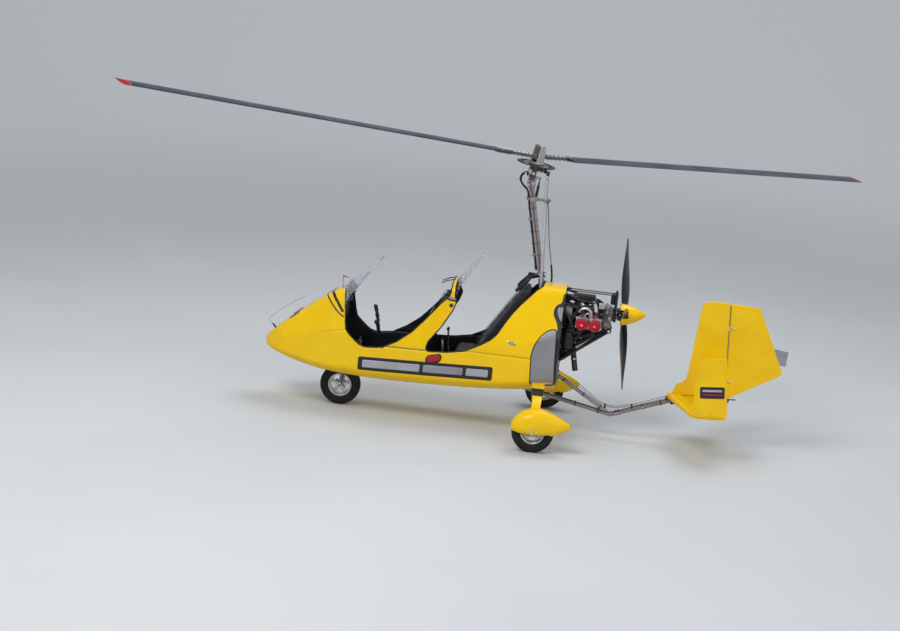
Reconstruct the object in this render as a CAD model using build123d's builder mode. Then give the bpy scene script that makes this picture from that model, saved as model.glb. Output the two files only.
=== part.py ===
from build123d import *
import math
import os

os.makedirs("parts", exist_ok=True)

# Tandem open-cockpit gyroplane, in millimetres. +X points aft, +Y to starboard, +Z up.
# The origin is on the ground, straight below the rotor hub.

# Driving dimensions
wall = 8.0                # thickness of the moulded hull panels
seat_gap = 0.3            # room between two pieces that rest on each other
run_gap = 6.0             # room between pieces that move past each other
shaft_gap = 0.08          # radial room of a shaft in its bore
panel_gap = 0.6           # shut line round the side panels
hull_rear = 394.0         # rear edge of the hull, where the firewall sits

axle_x = 264.0            # main axle
wheel_r = 187.0           # all three tyres, outside radius
tyre_half = 50.0          # half of a tyre's width
rim_r = 100.0             # radius of the tyre's seat on the rim
track_half = 820.0        # middle of a main wheel from the centre plane
nose_x = -1580.0          # axle of the nose wheel
nose_rake = 7.0           # steering axis leans aft, degrees

hub_z = 2487.0            # height of the hub bar's middle
disc_tilt = 7.47          # rotor disc leans aft, degrees
rotor_turn = 44.0         # the near blade points this far to port of straight ahead, degrees
coning = 2.34             # blades rise toward their tips, degrees
rotor_r = 4265.0          # rotor radius
blade_chord = 215.0
blade_thick = 27.0
blade_root = 330.0        # radius at which the blade's profile starts

prop_x = 912.0            # middle of the propeller hub
prop_z = 1154.0
prop_r = 800.0
prop_tilt = 4.6           # propeller axis rises toward the rear, degrees
blade_angles = (40.7, 160.7, 280.7)  # each blade from upright, toward starboard, degrees

hinge_foot = (1942.0, 501.0)   # rudder hinge line, lower end, x and z
hinge_lean = 3.3               # hinge line leans forward toward the top, degrees

# Hull sections: x, belly height, belly half width, top of the bilge, half width,
# height where the side leans in, shoulder half width and height, crown half width and height.
hull_table = (
    (-2302, 496, 15, 512, 40, 528, 34, 545, 12, 558),
    (-2250, 468, 50, 500, 122, 550, 96, 590, 30, 617),
    (-2140, 436, 85, 480, 200, 600, 150, 680, 45, 718),
    (-1980, 398, 120, 460, 264, 665, 190, 800, 55, 852),
    (-1800, 368, 150, 440, 312, 712, 215, 920, 65, 994),
    (-1640, 352, 165, 430, 338, 750, 232, 1012, 75, 1094),
    (-1250, 335, 180, 425, 354, 745, 262, 1110, 100, 1205),
    (-620, 352, 185, 440, 360, 730, 243, 1195, 115, 1300),
    (-100, 388, 180, 470, 360, 800, 238, 1250, 105, 1364),
    (394, 450, 170, 535, 350, 930, 190, 1290, 95, 1350),
)

# Side-view outlines, x and z
tub_outline = (
    (-2400, 300), (500, 300), (500, 718), (-446, 718), (-729, 678), (-773, 677), (-1169, 668),
    (-1173, 660), (-1342, 640), (-1395, 655), (-1468, 715), (-1530, 776), (-1948, 677), (-2400, 534),
)
bonnet_outline = (
    (-2400, 534), (-1948, 677), (-1530, 776), (-1557, 934), (-1585, 1102), (-1600, 1250), (-2400, 1250),
)
pod_outline = (
    (-1169, 668), (-1061, 728), (-937, 826), (-818, 962), (-700, 1112), (-640, 1172), (-626, 1190),
    (-626, 1450), (-588, 1450), (-586, 1176), (-566, 1140), (-589, 1059), (-678, 899), (-778, 764), (-787, 723), (-773, 677),
)
fairing_outline = (
    (-446, 718), (-364, 760), (-299, 795), (-218, 849), (-171, 899), (-114, 1003), (-55, 1098),
    (4, 1175), (66, 1244),
)
side_panel_outline = (
    (374, 1022), (300, 1008), (239, 971), (188, 895), (161, 751), (171, 508), (374, 531),
)

# Seat-back bulkhead of the rear cockpit: x of its front face at a height
bulkhead_low = (-278.0, 700.0)
bulkhead_high = (95.0, 1270.0)

# Mast: its middle line leans forward
mast_half_x = 25.0
mast_half_y = 16.0
mast_high = (-37.0, hub_z - 231.0)
guide_z = hub_z - 383.0   # bracket that guides the control rods
guide_end = 159.0
mast_room = 7.0           # from the mast's rear face to the edge of the hull's top
rod_foot_ahead = 10.4     # the control rods' feet stand ahead of the mast's middle line
axle_r = 11.0             # radius of all three wheel axles
keel_high = 60.0          # height of the beam along the hull's floor


def section_lines(row, inset):
    """One closed hull section: a flat belly, round bilges, upright sides, leaning sides, round shoulders."""
    _, z_belly, y_belly, z_bilge, y_side, z_side, y_shoulder, z_shoulder, y_crown, z_crown = row
    belly = (y_belly - inset * 0.5, z_belly + inset)
    bilge = (y_side - inset, z_bilge + inset * 0.4)
    side = (y_side - inset, z_side - inset * 0.2)
    shoulder = (y_shoulder - inset, z_shoulder - inset * 0.6)
    crown = (y_crown - inset * 0.5, z_crown - inset)
    low_arc = bulge_point(belly, bilge)
    high_arc = bulge_point(shoulder, crown)
    for turn in (1, -1):
        points = [(turn * y, z) for y, z in (belly, low_arc, bilge, side, shoulder, high_arc, crown)]
        ThreePointArc(points[0], points[1], points[2])
        Line(points[2], points[3])
        Line(points[3], points[4])
        ThreePointArc(points[4], points[5], points[6])
    Line((-belly[0], belly[1]), belly)
    Line((-crown[0], crown[1]), crown)


def bulge_point(start, end):
    """Middle point of a nearly quarter-round arc that bulges outward from start to end."""
    run, rise = end[0] - start[0], end[1] - start[1]
    bulge = 0.17
    return ((start[0] + end[0]) / 2 + bulge * rise, (start[1] + end[1]) / 2 - bulge * run)


def hull_form(inset, rear_more):
    """The hull as one closed form, its skin moved inward by inset and its rear end moved aft by rear_more."""
    with BuildPart() as form:
        for count, row in enumerate(hull_table):
            x = row[0]
            if count == 0:
                x = x + 1.5 * inset
            if count == len(hull_table) - 1:
                x = x + rear_more
            with BuildSketch(Plane(origin=(x, 0, 0), x_dir=(0, 1, 0), z_dir=(1, 0, 0))):
                with BuildLine():
                    section_lines(row, inset)
                make_face()
        loft(ruled=True)
    return form.part


def side_prism(points, y_low, y_high):
    """A side-view outline carried across from y_low to y_high."""
    with BuildPart() as prism:
        with BuildSketch(Plane(origin=(0, y_high, 0), x_dir=(1, 0, 0), z_dir=(0, -1, 0))):
            with BuildLine():
                Polyline(*points, close=True)
            make_face()
        extrude(amount=y_high - y_low)
    return prism.part


def belly_height(x):
    """Height of the hull's flat belly at x."""
    for fore, aft in zip(hull_table, hull_table[1:]):
        if fore[0] <= x <= aft[0]:
            share = (x - fore[0]) / (aft[0] - fore[0])
            return fore[1] + share * (aft[1] - fore[1])
    return hull_table[-1][1]


mast_low = (336.8, belly_height(336.8) + wall + keel_high + 4.2)
mast_lean = math.degrees(math.atan2(mast_low[0] - mast_high[0], mast_high[1] - mast_low[1]))


def mast_x(z):
    """The mast's middle line at a height."""
    lean = (mast_high[0] - mast_low[0]) / (mast_high[1] - mast_low[1])
    return mast_low[0] + (z - mast_low[1]) * lean


fairing_top_x = mast_x(1345) + mast_half_x + mast_room
fairing_outline += (
    (mast_x(1320) - 28, 1320), (fairing_top_x, 1345), (fairing_top_x, 1450), (500, 1450), (500, 718),
)


def bulkhead_x(z):
    """Front face of the rear seat's bulkhead at a height."""
    lean = (bulkhead_high[0] - bulkhead_low[0]) / (bulkhead_high[1] - bulkhead_low[1])
    return bulkhead_low[0] + (z - bulkhead_low[1]) * lean


def run_plane(start, end):
    """A plane at start that looks toward end."""
    return Plane(origin=start, z_dir=Vector(*end) - Vector(*start))


def run_length(start, end):
    return (Vector(*end) - Vector(*start)).length


outer_form = hull_form(0, 0)
inner_form = hull_form(wall, 40)
inner_fit = hull_form(wall + seat_gap, 40)
over_form = hull_form(-seat_gap, 0)

# Frames of reference for what leans
steer_axis = (math.sin(math.radians(nose_rake)), 0, math.cos(math.radians(nose_rake)))
steer_side = (math.cos(math.radians(nose_rake)), 0, -math.sin(math.radians(nose_rake)))
tilt = math.radians(disc_tilt)
head_axis = (math.sin(tilt), 0, math.cos(tilt))
head_aft = (math.cos(tilt), 0, -math.sin(tilt))
hub_point = (0, 0, hub_z)
turn = math.radians(rotor_turn)
span_dir = tuple(Vector(*head_aft) * math.cos(turn) + Vector(0, 1, 0) * math.sin(turn))


def steer_plane(height, side=0.0):
    """A plane square to the steering axis, at a height above the nose axle."""
    origin = Vector(nose_x, side, wheel_r) + Vector(*steer_axis) * height
    return Plane(origin=origin, x_dir=steer_side, z_dir=steer_axis)


def head_plane(height):
    """A plane square to the rotor's axis, x aft, at a height above the hub bar's middle."""
    return Plane(origin=Vector(*hub_point) + Vector(*head_axis) * height, x_dir=head_aft, z_dir=head_axis)


def rotor_plane(height):
    """As head_plane, with x along the rotor's span."""
    return Plane(origin=Vector(*hub_point) + Vector(*head_axis) * height, x_dir=span_dir, z_dir=head_axis)


# Nose wheel well and steering head: heights above the nose axle, along the steering axis
well_low = 345.0 - wheel_r
well_roof = wheel_r + 48.0
well_r = math.sqrt(wheel_r ** 2 - well_low ** 2) + 18.0
well_wall = 4.0
head_top = well_roof + 95.0
stem_r = 17.5

with BuildPart() as nose_gear_well:
    with BuildSketch(steer_plane(well_low)):
        Circle(well_r + well_wall)
    extrude(amount=well_roof + well_wall - well_low)
    with BuildSketch(steer_plane(well_low)):
        Circle(well_r)
    extrude(amount=well_roof - well_low, mode=Mode.SUBTRACT)
    with BuildSketch(steer_plane(well_roof)):
        Circle(stem_r + 12)
    extrude(amount=head_top - well_roof)
    with BuildSketch(steer_plane(well_low)):
        Circle(stem_r + shaft_gap)
    extrude(amount=head_top - well_low, mode=Mode.SUBTRACT)

# Landing leg: a sprung bow, its side view a band of one thickness, its plan tapering outward
leg_thick = 26.0
leg_x = (188.0, 305.0)
leg_tip_x = (226.0, 304.0)
leg_knuckle = track_half - 87
leg_line = (
    (0, 520), (230, 520), (352, 494), (leg_knuckle - 43, 408), (leg_knuckle, 360), (leg_knuckle, wheel_r - 27),
)
spat_half = 118.0
knuckle_y = leg_line[-1][0] + leg_thick / 2


def band_outline(points, half):
    """Closed outline of a bent strip: the points moved half a thickness to each side, mitred at the bends."""
    sides = ([], [])
    for count, point in enumerate(points):
        here = Vector(*point)
        before = Vector(*points[max(count - 1, 0)])
        after = Vector(*points[min(count + 1, len(points) - 1)])
        arrive = (here - before).normalized() if count else (after - here).normalized()
        leave = (after - here).normalized() if count < len(points) - 1 else arrive
        middle = (arrive + leave).normalized()
        square = Vector(-middle.Y, middle.X)
        reach = half / square.dot(Vector(-arrive.Y, arrive.X))
        sides[0].append(here + square * reach)
        sides[1].append(here - square * reach)
    return sides[0] + sides[1][::-1]


def leg_band(extra):
    """The leg's bow, seen along the hull, with a margin round it."""
    with BuildPart() as band:
        with BuildSketch(Plane(origin=(leg_x[0] - extra, 0, 0), x_dir=(0, 1, 0), z_dir=(1, 0, 0))):
            with BuildLine():
                bow = [(-y, z) for y, z in reversed(leg_line[1:])] + list(leg_line)
                Polyline(*band_outline(bow, leg_thick / 2 + extra), close=True)
            make_face()
        extrude(amount=leg_x[1] - leg_x[0] + 2 * extra)
        with BuildSketch(Plane.XY):
            outline = []
            for sign in (1, -1):
                root, bend, tip = sign * 330, sign * (leg_knuckle - 43), sign * (knuckle_y + 20)
                rows = [
                    (leg_x[1] + extra, root), (leg_tip_x[1] + extra, bend), (leg_tip_x[1] + extra, tip),
                    (leg_tip_x[0] - extra, tip), (leg_tip_x[0] - extra, bend), (leg_x[0] - extra, root),
                ]
                outline += rows if sign == 1 else rows[::-1]
            with BuildLine():
                Polyline(*outline, close=True)
            make_face()
        extrude(amount=700, mode=Mode.INTERSECT)
    return band.part


with BuildPart() as landing_leg:
    add(leg_band(0))
    with Locations((axle_x, 0, wheel_r)):
        Cylinder(axle_r + seat_gap, 4 * track_half, rotation=(90, 0, 0), mode=Mode.SUBTRACT)

# Hull panels
panel_inner = 200.0
with BuildPart() as panel_hole_form:
    with BuildSketch(Plane(origin=(0, 500, 0), x_dir=(1, 0, 0), z_dir=(0, -1, 0))):
        with BuildLine():
            Polyline(*side_panel_outline, close=True)
        make_face()
        offset(amount=panel_gap, kind=Kind.INTERSECTION)
    extrude(amount=1000)
panel_hole = panel_hole_form.part - Box(1200, 2 * panel_inner, 3000)

with BuildPart() as hull_tub:
    add(outer_form)
    add(inner_form, mode=Mode.SUBTRACT)
    add(side_prism(tub_outline, -500, 500), mode=Mode.INTERSECT)
    add(panel_hole, mode=Mode.SUBTRACT)
    add(leg_band(1.0), mode=Mode.SUBTRACT)
    with BuildSketch(steer_plane(0)):
        Circle(well_r + well_wall + seat_gap)
    extrude(amount=well_roof, mode=Mode.SUBTRACT)

with BuildPart() as nose_bonnet:
    add(outer_form)
    add(inner_form, mode=Mode.SUBTRACT)
    add(side_prism(bonnet_outline, -500, 500), mode=Mode.INTERSECT)

# The pod between the cockpits: two side bands, an arch over the top and the front seat's back wall
pod_back = ((-838, 677), (-600, 1170), (-600 + wall, 1170), (-838 + wall, 677))
with BuildPart() as seat_pod:
    add(inner_form)
    add(side_prism(pod_back, -500, 500), mode=Mode.INTERSECT)
    add(outer_form - inner_form & side_prism(pod_outline, -500, 500))

rear_wall = (
    (bulkhead_x(720), 720), bulkhead_high,
    (bulkhead_high[0] + wall, bulkhead_high[1]), (bulkhead_x(720) + wall, 720),
)
with BuildPart() as mast_fairing:
    add(inner_form)
    add(side_prism(rear_wall, -500, 500), mode=Mode.INTERSECT)
    add(outer_form - inner_form & side_prism(fairing_outline, -500, 500))
    add(panel_hole, mode=Mode.SUBTRACT)

with BuildPart() as side_panels:
    add(outer_form)
    add(inner_form, mode=Mode.SUBTRACT)
    add(side_prism(side_panel_outline, -500, 500), mode=Mode.INTERSECT)
    with Locations((axle_x, 0, 900)):
        Box(1200, 2 * panel_inner, 1400, mode=Mode.SUBTRACT)

firewall_thick = 12.0
firewall_x = hull_rear - firewall_thick
with BuildPart() as firewall:
    with Locations((hull_rear - firewall_thick / 2, 0, 900)):
        Box(firewall_thick, 1000, 1200)
    add(inner_fit, mode=Mode.INTERSECT)

# Instrument panels: black bulkheads under the windscreens
panel_thick = 10.0
with BuildPart() as instrument_panels:
    with Locations((-1606, 0, 1000)):
        Box(panel_thick, 1000, 400)
    with Locations((-606, 0, 1276)):
        Box(panel_thick, 1000, 200)
    add(inner_fit, mode=Mode.INTERSECT)


def windscreen(base, tip, bend_r, half_angle, sheet, width):
    """A clear sheet bent round an axis that runs from base to tip, trimmed to a rounded outline."""
    along = (Vector(tip[0], 0, tip[1]) - Vector(base[0], 0, base[1])).normalized()
    start = Vector(base[0], 0, base[1]) - along * 260
    length = run_length((base[0], 0, base[1]), (tip[0], 0, tip[1])) + 260
    up = Vector(0, 1, 0).cross(along) * -1
    with BuildPart() as screen:
        with BuildSketch(Plane(origin=start, x_dir=(0, 1, 0), z_dir=along)):
            low = math.radians(half_angle)
            turned = 1 if Plane(origin=start, x_dir=(0, 1, 0), z_dir=along).y_dir.dot(up) > 0 else -1
            ends = []
            for radius in (bend_r, bend_r - sheet):
                y, drop = radius * math.sin(low), radius * math.cos(low) - bend_r
                ends.append(((-y, turned * drop), (0, turned * (radius - bend_r)), (y, turned * drop)))
            with BuildLine():
                ThreePointArc(*ends[0])
                ThreePointArc(*ends[1])
                Line(ends[0][0], ends[1][0])
                Line(ends[0][2], ends[1][2])
            make_face()
        extrude(amount=length)
        cut_plane = Plane(origin=start + up * 300, x_dir=(0, 1, 0), z_dir=up * -1)
        side = 1 if cut_plane.y_dir.dot(along) > 0 else -1
        with BuildSketch(cut_plane):
            with BuildLine():
                Line((-width, -side * 100), (width, -side * 100))
                Line((width, -side * 100), (width, side * 300))
                ThreePointArc((width, side * 300), (width * 0.72, side * (length - 75)), (0, side * length))
                ThreePointArc((0, side * length), (-width * 0.72, side * (length - 75)), (-width, side * 300))
                Line((-width, side * 300), (-width, -side * 100))
            make_face()
        extrude(amount=600, mode=Mode.INTERSECT)
        add(over_form, mode=Mode.SUBTRACT)
        add(side_prism(((base[0] - 400, 0), (base[0] + 900, 0), (base[0] + 900, base[1] - 60),
                        (base[0] - 400, base[1] - 60)), -500, 500), mode=Mode.SUBTRACT)
    return screen.part


sheet = 4.0
with BuildPart() as windscreens:
    add(windscreen((-1640, 1118), (-1285, 1436), 330, 62, sheet, 285))
    add(windscreen((-602, 1291), (-380, 1573), 300, 52, sheet, 225))

# Keel beam along the hull's floor, from the nose gear's well to the firewall
keel_half = 30.0
keel_start = nose_x + (well_roof + 15) * steer_axis[0] + well_r + well_wall + seat_gap
keel_xs = [keel_start, -1250, -620, -100, firewall_x - seat_gap]
keel_floor = [(x, belly_height(x) + wall + seat_gap) for x in keel_xs]
keel_roof = [(x, z + keel_high) for x, z in keel_floor]
keel_points = keel_floor + keel_roof[::-1]


def keel_top(x):
    return belly_height(x) + wall + seat_gap + keel_high


with BuildPart() as keel_beam:
    add(side_prism(keel_points, -keel_half, keel_half))
    add(leg_band(seat_gap), mode=Mode.SUBTRACT)

# Seats: cushions on light cross frames that stand on the keel beam
seat_frame_thick = 6.0
front_pan = (-1190.0, -850.0, 530.0, 600.0)   # front, rear, underside and top
rear_pan = (-560.0, -215.0, 610.0, 685.0)
seat_half = 205.0
back_half = 300.0                             # seat backs, trimmed by the hull's inside
cushion_form = hull_form(wall + 12, 40)
with BuildPart() as seat_frames:
    for pan in (front_pan, rear_pan):
        for x in (pan[0] + 30, pan[1] - 60):
            low = keel_top(x) + seat_gap
            with Locations((x, 0, (low + pan[2] - seat_gap) / 2)):
                Box(seat_frame_thick, 2 * seat_half - 40, pan[2] - seat_gap - low)

with BuildPart() as front_seat_base:
    with Locations(((front_pan[0] + front_pan[1]) / 2, 0, (front_pan[2] + front_pan[3]) / 2)):
        Box(front_pan[1] - front_pan[0], 2 * seat_half, front_pan[3] - front_pan[2])
    fillet(front_seat_base.edges().filter_by(Axis.Z), 35)

with BuildPart() as rear_seat_base:
    with Locations(((rear_pan[0] + rear_pan[1]) / 2, 0, (rear_pan[2] + rear_pan[3]) / 2)):
        Box(rear_pan[1] - rear_pan[0], 2 * seat_half, rear_pan[3] - rear_pan[2])
    fillet(rear_seat_base.edges().filter_by(Axis.Z), 35)


def pod_back_x(z):
    share = (z - pod_back[0][1]) / (pod_back[1][1] - pod_back[0][1])
    return pod_back[0][0] + share * (pod_back[1][0] - pod_back[0][0])


back_thick = 75.0
front_back_z = (front_pan[3] + seat_gap + 2, 1150.0)
with BuildPart() as front_seat_back:
    add(side_prism((
        (pod_back_x(front_back_z[0]) - seat_gap, front_back_z[0]),
        (pod_back_x(front_back_z[1]) - seat_gap, front_back_z[1]),
        (pod_back_x(front_back_z[1]) - back_thick, front_back_z[1]),
        (pod_back_x(front_back_z[0]) - back_thick, front_back_z[0]),
    ), -back_half, back_half))
    add(cushion_form, mode=Mode.INTERSECT)

rear_back_z = (rear_pan[3] + seat_gap + 2, 1290.0)
with BuildPart() as rear_seat_back:
    add(side_prism((
        (bulkhead_x(rear_back_z[0]) - seat_gap, rear_back_z[0]),
        (bulkhead_x(rear_back_z[1]) - seat_gap, rear_back_z[1]),
        (bulkhead_x(rear_back_z[1]) - back_thick, rear_back_z[1]),
        (bulkhead_x(rear_back_z[0]) - back_thick, rear_back_z[0]),
    ), -back_half, back_half))
    add(cushion_form, mode=Mode.INTERSECT)

# Cockpit controls: two sticks, a throttle lever and two pairs of rudder pedals
stick_x = -1262.0
pedal_xs = (keel_start + 2, -640.0)
with BuildPart() as hand_controls:
    low = (stick_x, 0, keel_top(stick_x) + seat_gap + 1)
    bend = (stick_x - 10, 0, 760)
    top = (stick_x - 60, 0, 960)
    lever_low = (-1240, -90, keel_top(-1240) + 50)
    lever_high = (-1290, -95, 820)
    for start, end, radius in ((low, bend, 11), (bend, top, 17), (lever_low, lever_high, 8)):
        with BuildSketch(run_plane(start, end)):
            Circle(radius)
        extrude(amount=run_length(start, end))
    with Locations((lever_high[0] - 2, lever_high[1], lever_high[2] + 10)):
        Sphere(20)
    with Locations((lever_low[0], -keel_half - seat_gap - 35, keel_top(lever_low[0]) - 20)):
        Box(90, 70, 40)
    with Locations((lever_low[0], lever_low[1], lever_low[2] - 20)):
        Box(60, 12, 70)

with BuildPart() as rudder_pedals:
    for x, half, high in ((pedal_xs[0], 95, 620), (pedal_xs[1], 268, 775)):
        low = keel_top(x + 30) + 10 + seat_gap
        with Locations((x + 30, 0, low)):
            Cylinder(10, 2 * half, rotation=(90, 0, 0))
        for sign in (1, -1):
            foot = (x + 30, sign * (half - 30), low)
            top = (x - 20, sign * (half - 30), high)
            with BuildSketch(run_plane(foot, top)):
                Circle(9)
            extrude(amount=run_length(foot, top))
            with Locations(top):
                Cylinder(11, 60, rotation=(90, 0, 0))

# Mast, its head bracket, the bracket half way up and the support bar over the rear seat
with BuildPart() as mast:
    add(side_prism((
        (mast_low[0] - mast_half_x, mast_low[1]), (mast_low[0] + mast_half_x, mast_low[1]),
        (mast_high[0] + mast_half_x, mast_high[1]), (mast_high[0] - mast_half_x, mast_high[1]),
    ), -mast_half_y, mast_half_y))


# Heights along the rotor's axis, from the hub bar's middle
ring_top = -62.0
ring_thick = 12.0
ring_r = 175.0
housing_top = ring_top - ring_thick - run_gap
arm_top = -112.0
arm_thick = 16.0
pitch_height = -152.0
roll_height = -186.0
block_half = 22.0
cheek_thick = 9.0
shaft_r = 15.0
pin_r = 7.0
rod_aft = 124.0            # the control rods' eyes, aft of the gimbal
rod_side = 50.0            # and to each side
lug_in = 24.0              # the arm's lugs stand inside the rods' eyes

# The control rods run beside the mast: their top eyes, their feet and their radius
rod_top = Vector(*hub_point) + Vector(*head_axis) * pitch_height + Vector(*head_aft) * rod_aft
rod_foot = Vector(mast_x(1290) - rod_foot_ahead, 0, 1290)
rod_r = 12.0
rod_dir = (rod_top - rod_foot).normalized()

# The mast's head bracket: two upright plates that hold the roll bolt
saddle_top = roll_height - block_half - run_gap
with BuildPart() as mast_brackets:
    with BuildSketch(head_plane(saddle_top)):
        Rectangle(2 * (block_half + run_gap + cheek_thick), 2 * block_half)
    extrude(amount=-12)
    for side in (1, -1):
        with BuildSketch(head_plane(saddle_top)):
            with Locations((side * (block_half + run_gap + cheek_thick / 2), 0)):
                Rectangle(cheek_thick, 2 * block_half)
        extrude(amount=roll_height + 14 - saddle_top)
    start = Vector(*hub_point) + Vector(*head_axis) * roll_height - Vector(*head_aft) * 40
    with BuildSketch(Plane(origin=start, z_dir=head_aft)):
        Circle(pin_r)
    extrude(amount=80)
    sleeve_z = mast_high[1] - 20
    with Locations((mast_x(sleeve_z), 0, sleeve_z)):
        Box(70, 52, 50, rotation=(0, -mast_lean, 0))
    guide_start = mast_x(guide_z) + mast_half_x
    with Locations(((guide_start + guide_end) / 2, 0, guide_z)):
        Box(guide_end - guide_start, 24, 24)
    with Locations((mast_x(guide_z) + 10, 0, guide_z)):
        Box(66, 46, 44, rotation=(0, -mast_lean, 0))
    for side in (1, -1):
        eye = rod_foot + rod_dir * ((guide_z - rod_foot.Z) / rod_dir.Z - 12) + Vector(0, side * rod_side, 0)
        with BuildSketch(Plane(origin=eye, x_dir=(0, 1, 0), z_dir=rod_dir)):
            Circle(rod_r + 6)
            with Locations((side * -rod_side / 2, 0)):
                Rectangle(rod_side, 30)
        extrude(amount=24)
        with BuildSketch(Plane(origin=eye, x_dir=(0, 1, 0), z_dir=rod_dir)):
            Circle(rod_r + shaft_gap)
        extrude(amount=24, mode=Mode.SUBTRACT)
    add(mast.part, mode=Mode.SUBTRACT)

# Support bar: a clamp on the mast's foot and a bowed tube down to the top of the rear seat
clamp_z = 1418.0
with BuildPart() as support_bar:
    with Locations((mast_x(clamp_z) + 8, 0, clamp_z)):
        Box(66, 60, 52, rotation=(0, -mast_lean, 0))
    for side in (1, -1):
        path = (
            (mast_x(clamp_z) - 20, side * 24, clamp_z), (mast_x(clamp_z) - 90, side * 90, clamp_z - 12),
            (49, side * 120, 1394), (-50, side * 130, 1285),
        )
        for start, end in zip(path, path[1:]):
            with BuildSketch(run_plane(start, end)):
                Circle(15)
            extrude(amount=run_length(start, end))
            with Locations(end):
                Sphere(15)
    add(mast.part, mode=Mode.SUBTRACT)

# Control rods beside the mast, from inside the fairing up to the gimbal's arm
with BuildPart() as control_rods:
    for side in (1, -1):
        start = rod_foot + Vector(0, side * rod_side, 0)
        with BuildSketch(Plane(origin=start, z_dir=rod_dir)):
            Circle(rod_r)
        extrude(amount=(rod_top - rod_foot).length - 24)
        with BuildSketch(Plane(origin=start, z_dir=rod_dir)):
            Circle(7)
        extrude(amount=(rod_top - rod_foot).length)
        with Locations(rod_top + Vector(0, side * rod_side, 0)):
            Cylinder(12, 12, rotation=(90, 0, 0))

# Gimbal block: pitch bolt across, roll bolt fore and aft
with BuildPart() as gimbal_block:
    with BuildSketch(head_plane(roll_height - block_half)):
        Rectangle(2 * block_half, 2 * block_half)
    extrude(amount=pitch_height + block_half - 4 - roll_height + block_half)
    roll_start = Vector(*hub_point) + Vector(*head_axis) * roll_height - Vector(*head_aft) * 60
    with BuildSketch(Plane(origin=roll_start, z_dir=head_aft)):
        Circle(pin_r + shaft_gap)
    extrude(amount=120, mode=Mode.SUBTRACT)
    pitch_start = Vector(*hub_point) + Vector(*head_axis) * pitch_height + Vector(0, 60, 0)
    with BuildSketch(Plane(origin=pitch_start, z_dir=(0, -1, 0))):
        Circle(pin_r + shaft_gap)
    extrude(amount=120, mode=Mode.SUBTRACT)

# Head frame: bearing housing, top bar, cheeks with the pitch bolt and the arm aft to the control rods
with BuildPart() as head_frame:
    with BuildSketch(head_plane(arm_top)):
        Circle(46)
    extrude(amount=housing_top - arm_top)
    with BuildSketch(head_plane(arm_top)):
        with Locations((20, 0)):
            Rectangle(150, 2 * (block_half + run_gap + cheek_thick))
    extrude(amount=-arm_thick)
    for side in (1, -1):
        with BuildSketch(head_plane(arm_top - arm_thick)):
            with Locations((0, side * (block_half + run_gap + cheek_thick / 2))):
                Rectangle(40, cheek_thick)
        extrude(amount=pitch_height - 14 - arm_top + arm_thick)
        with BuildSketch(head_plane(arm_top)):
            with Locations((rod_aft - 12, side * (rod_side - lug_in))):
                Rectangle(54, 12)
        extrude(amount=-arm_thick)
        with BuildSketch(head_plane(arm_top - arm_thick)):
            with Locations((rod_aft, side * (rod_side - lug_in))):
                Rectangle(26, 12)
        extrude(amount=pitch_height - 12 - arm_top + arm_thick)
    with BuildSketch(Plane(origin=Vector(*pitch_start) - Vector(0, 22, 0), z_dir=(0, -1, 0))):
        Circle(pin_r)
    extrude(amount=76)
    with BuildSketch(head_plane(arm_top - arm_thick)):
        Circle(shaft_r + shaft_gap)
    extrude(amount=60, mode=Mode.SUBTRACT)

# Teeter tower, spindle and ring gear turn together
cheek_in = 40.0
teeter_height = 75.0
with BuildPart() as teeter_tower:
    with BuildSketch(rotor_plane(ring_top)):
        Circle(70)
    extrude(amount=12)
    with BuildSketch(rotor_plane(ring_top)):
        Circle(shaft_r)
    extrude(amount=-(ring_top - arm_top + arm_thick) + 1)
    for side in (1, -1):
        with BuildSketch(rotor_plane(ring_top + 12)):
            with Locations((0, side * (cheek_in + 6))):
                Rectangle(78, 12)
        with BuildSketch(rotor_plane(106)):
            with Locations((0, side * (cheek_in + 6))):
                Rectangle(48, 12)
        loft(ruled=True)
    teeter_start = Vector(*hub_point) + Vector(*head_axis) * teeter_height
    cross_dir = Vector(*head_axis).cross(Vector(*span_dir))
    with BuildSketch(Plane(origin=teeter_start - cross_dir * (cheek_in + 16), z_dir=cross_dir)):
        Circle(10)
    extrude(amount=2 * (cheek_in + 16))

with BuildPart() as ring_gear:
    with BuildSketch(rotor_plane(ring_top - ring_thick)):
        Circle(ring_r)
        Circle(ring_r - 28, mode=Mode.SUBTRACT)
        for angle in range(0, 180, 60):
            Rectangle(2 * ring_r - 30, 24, rotation=angle)
        Circle(60)
        Circle(shaft_r + shaft_gap, mode=Mode.SUBTRACT)
    extrude(amount=ring_thick - seat_gap)

# Hub bar: coned both ways from its middle, with the teeter block on top
bar_half = 460.0
bar_thick = blade_thick - 3
bar_wide = 64.0
rise = math.tan(math.radians(coning))
rotor_side = Plane(origin=hub_point, x_dir=span_dir, z_dir=cross_dir * -1)
with BuildPart() as hub_bar:
    with BuildSketch(rotor_side):
        half = bar_thick / 2
        with BuildLine():
            Polyline(
                (0, half), (bar_half, half + bar_half * rise), (bar_half, bar_half * rise - half), (0, -half),
                (-bar_half, bar_half * rise - half), (-bar_half, half + bar_half * rise), close=True,
            )
        make_face()
    extrude(amount=bar_wide / 2, both=True)
    with BuildSketch(rotor_plane(half)):
        Rectangle(56, 2 * (cheek_in - run_gap))
    extrude(amount=teeter_height + 18 - half)
    with BuildSketch(Plane(origin=teeter_start - cross_dir * 60, z_dir=cross_dir)):
        Circle(10 + shaft_gap)
    extrude(amount=120, mode=Mode.SUBTRACT)

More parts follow.
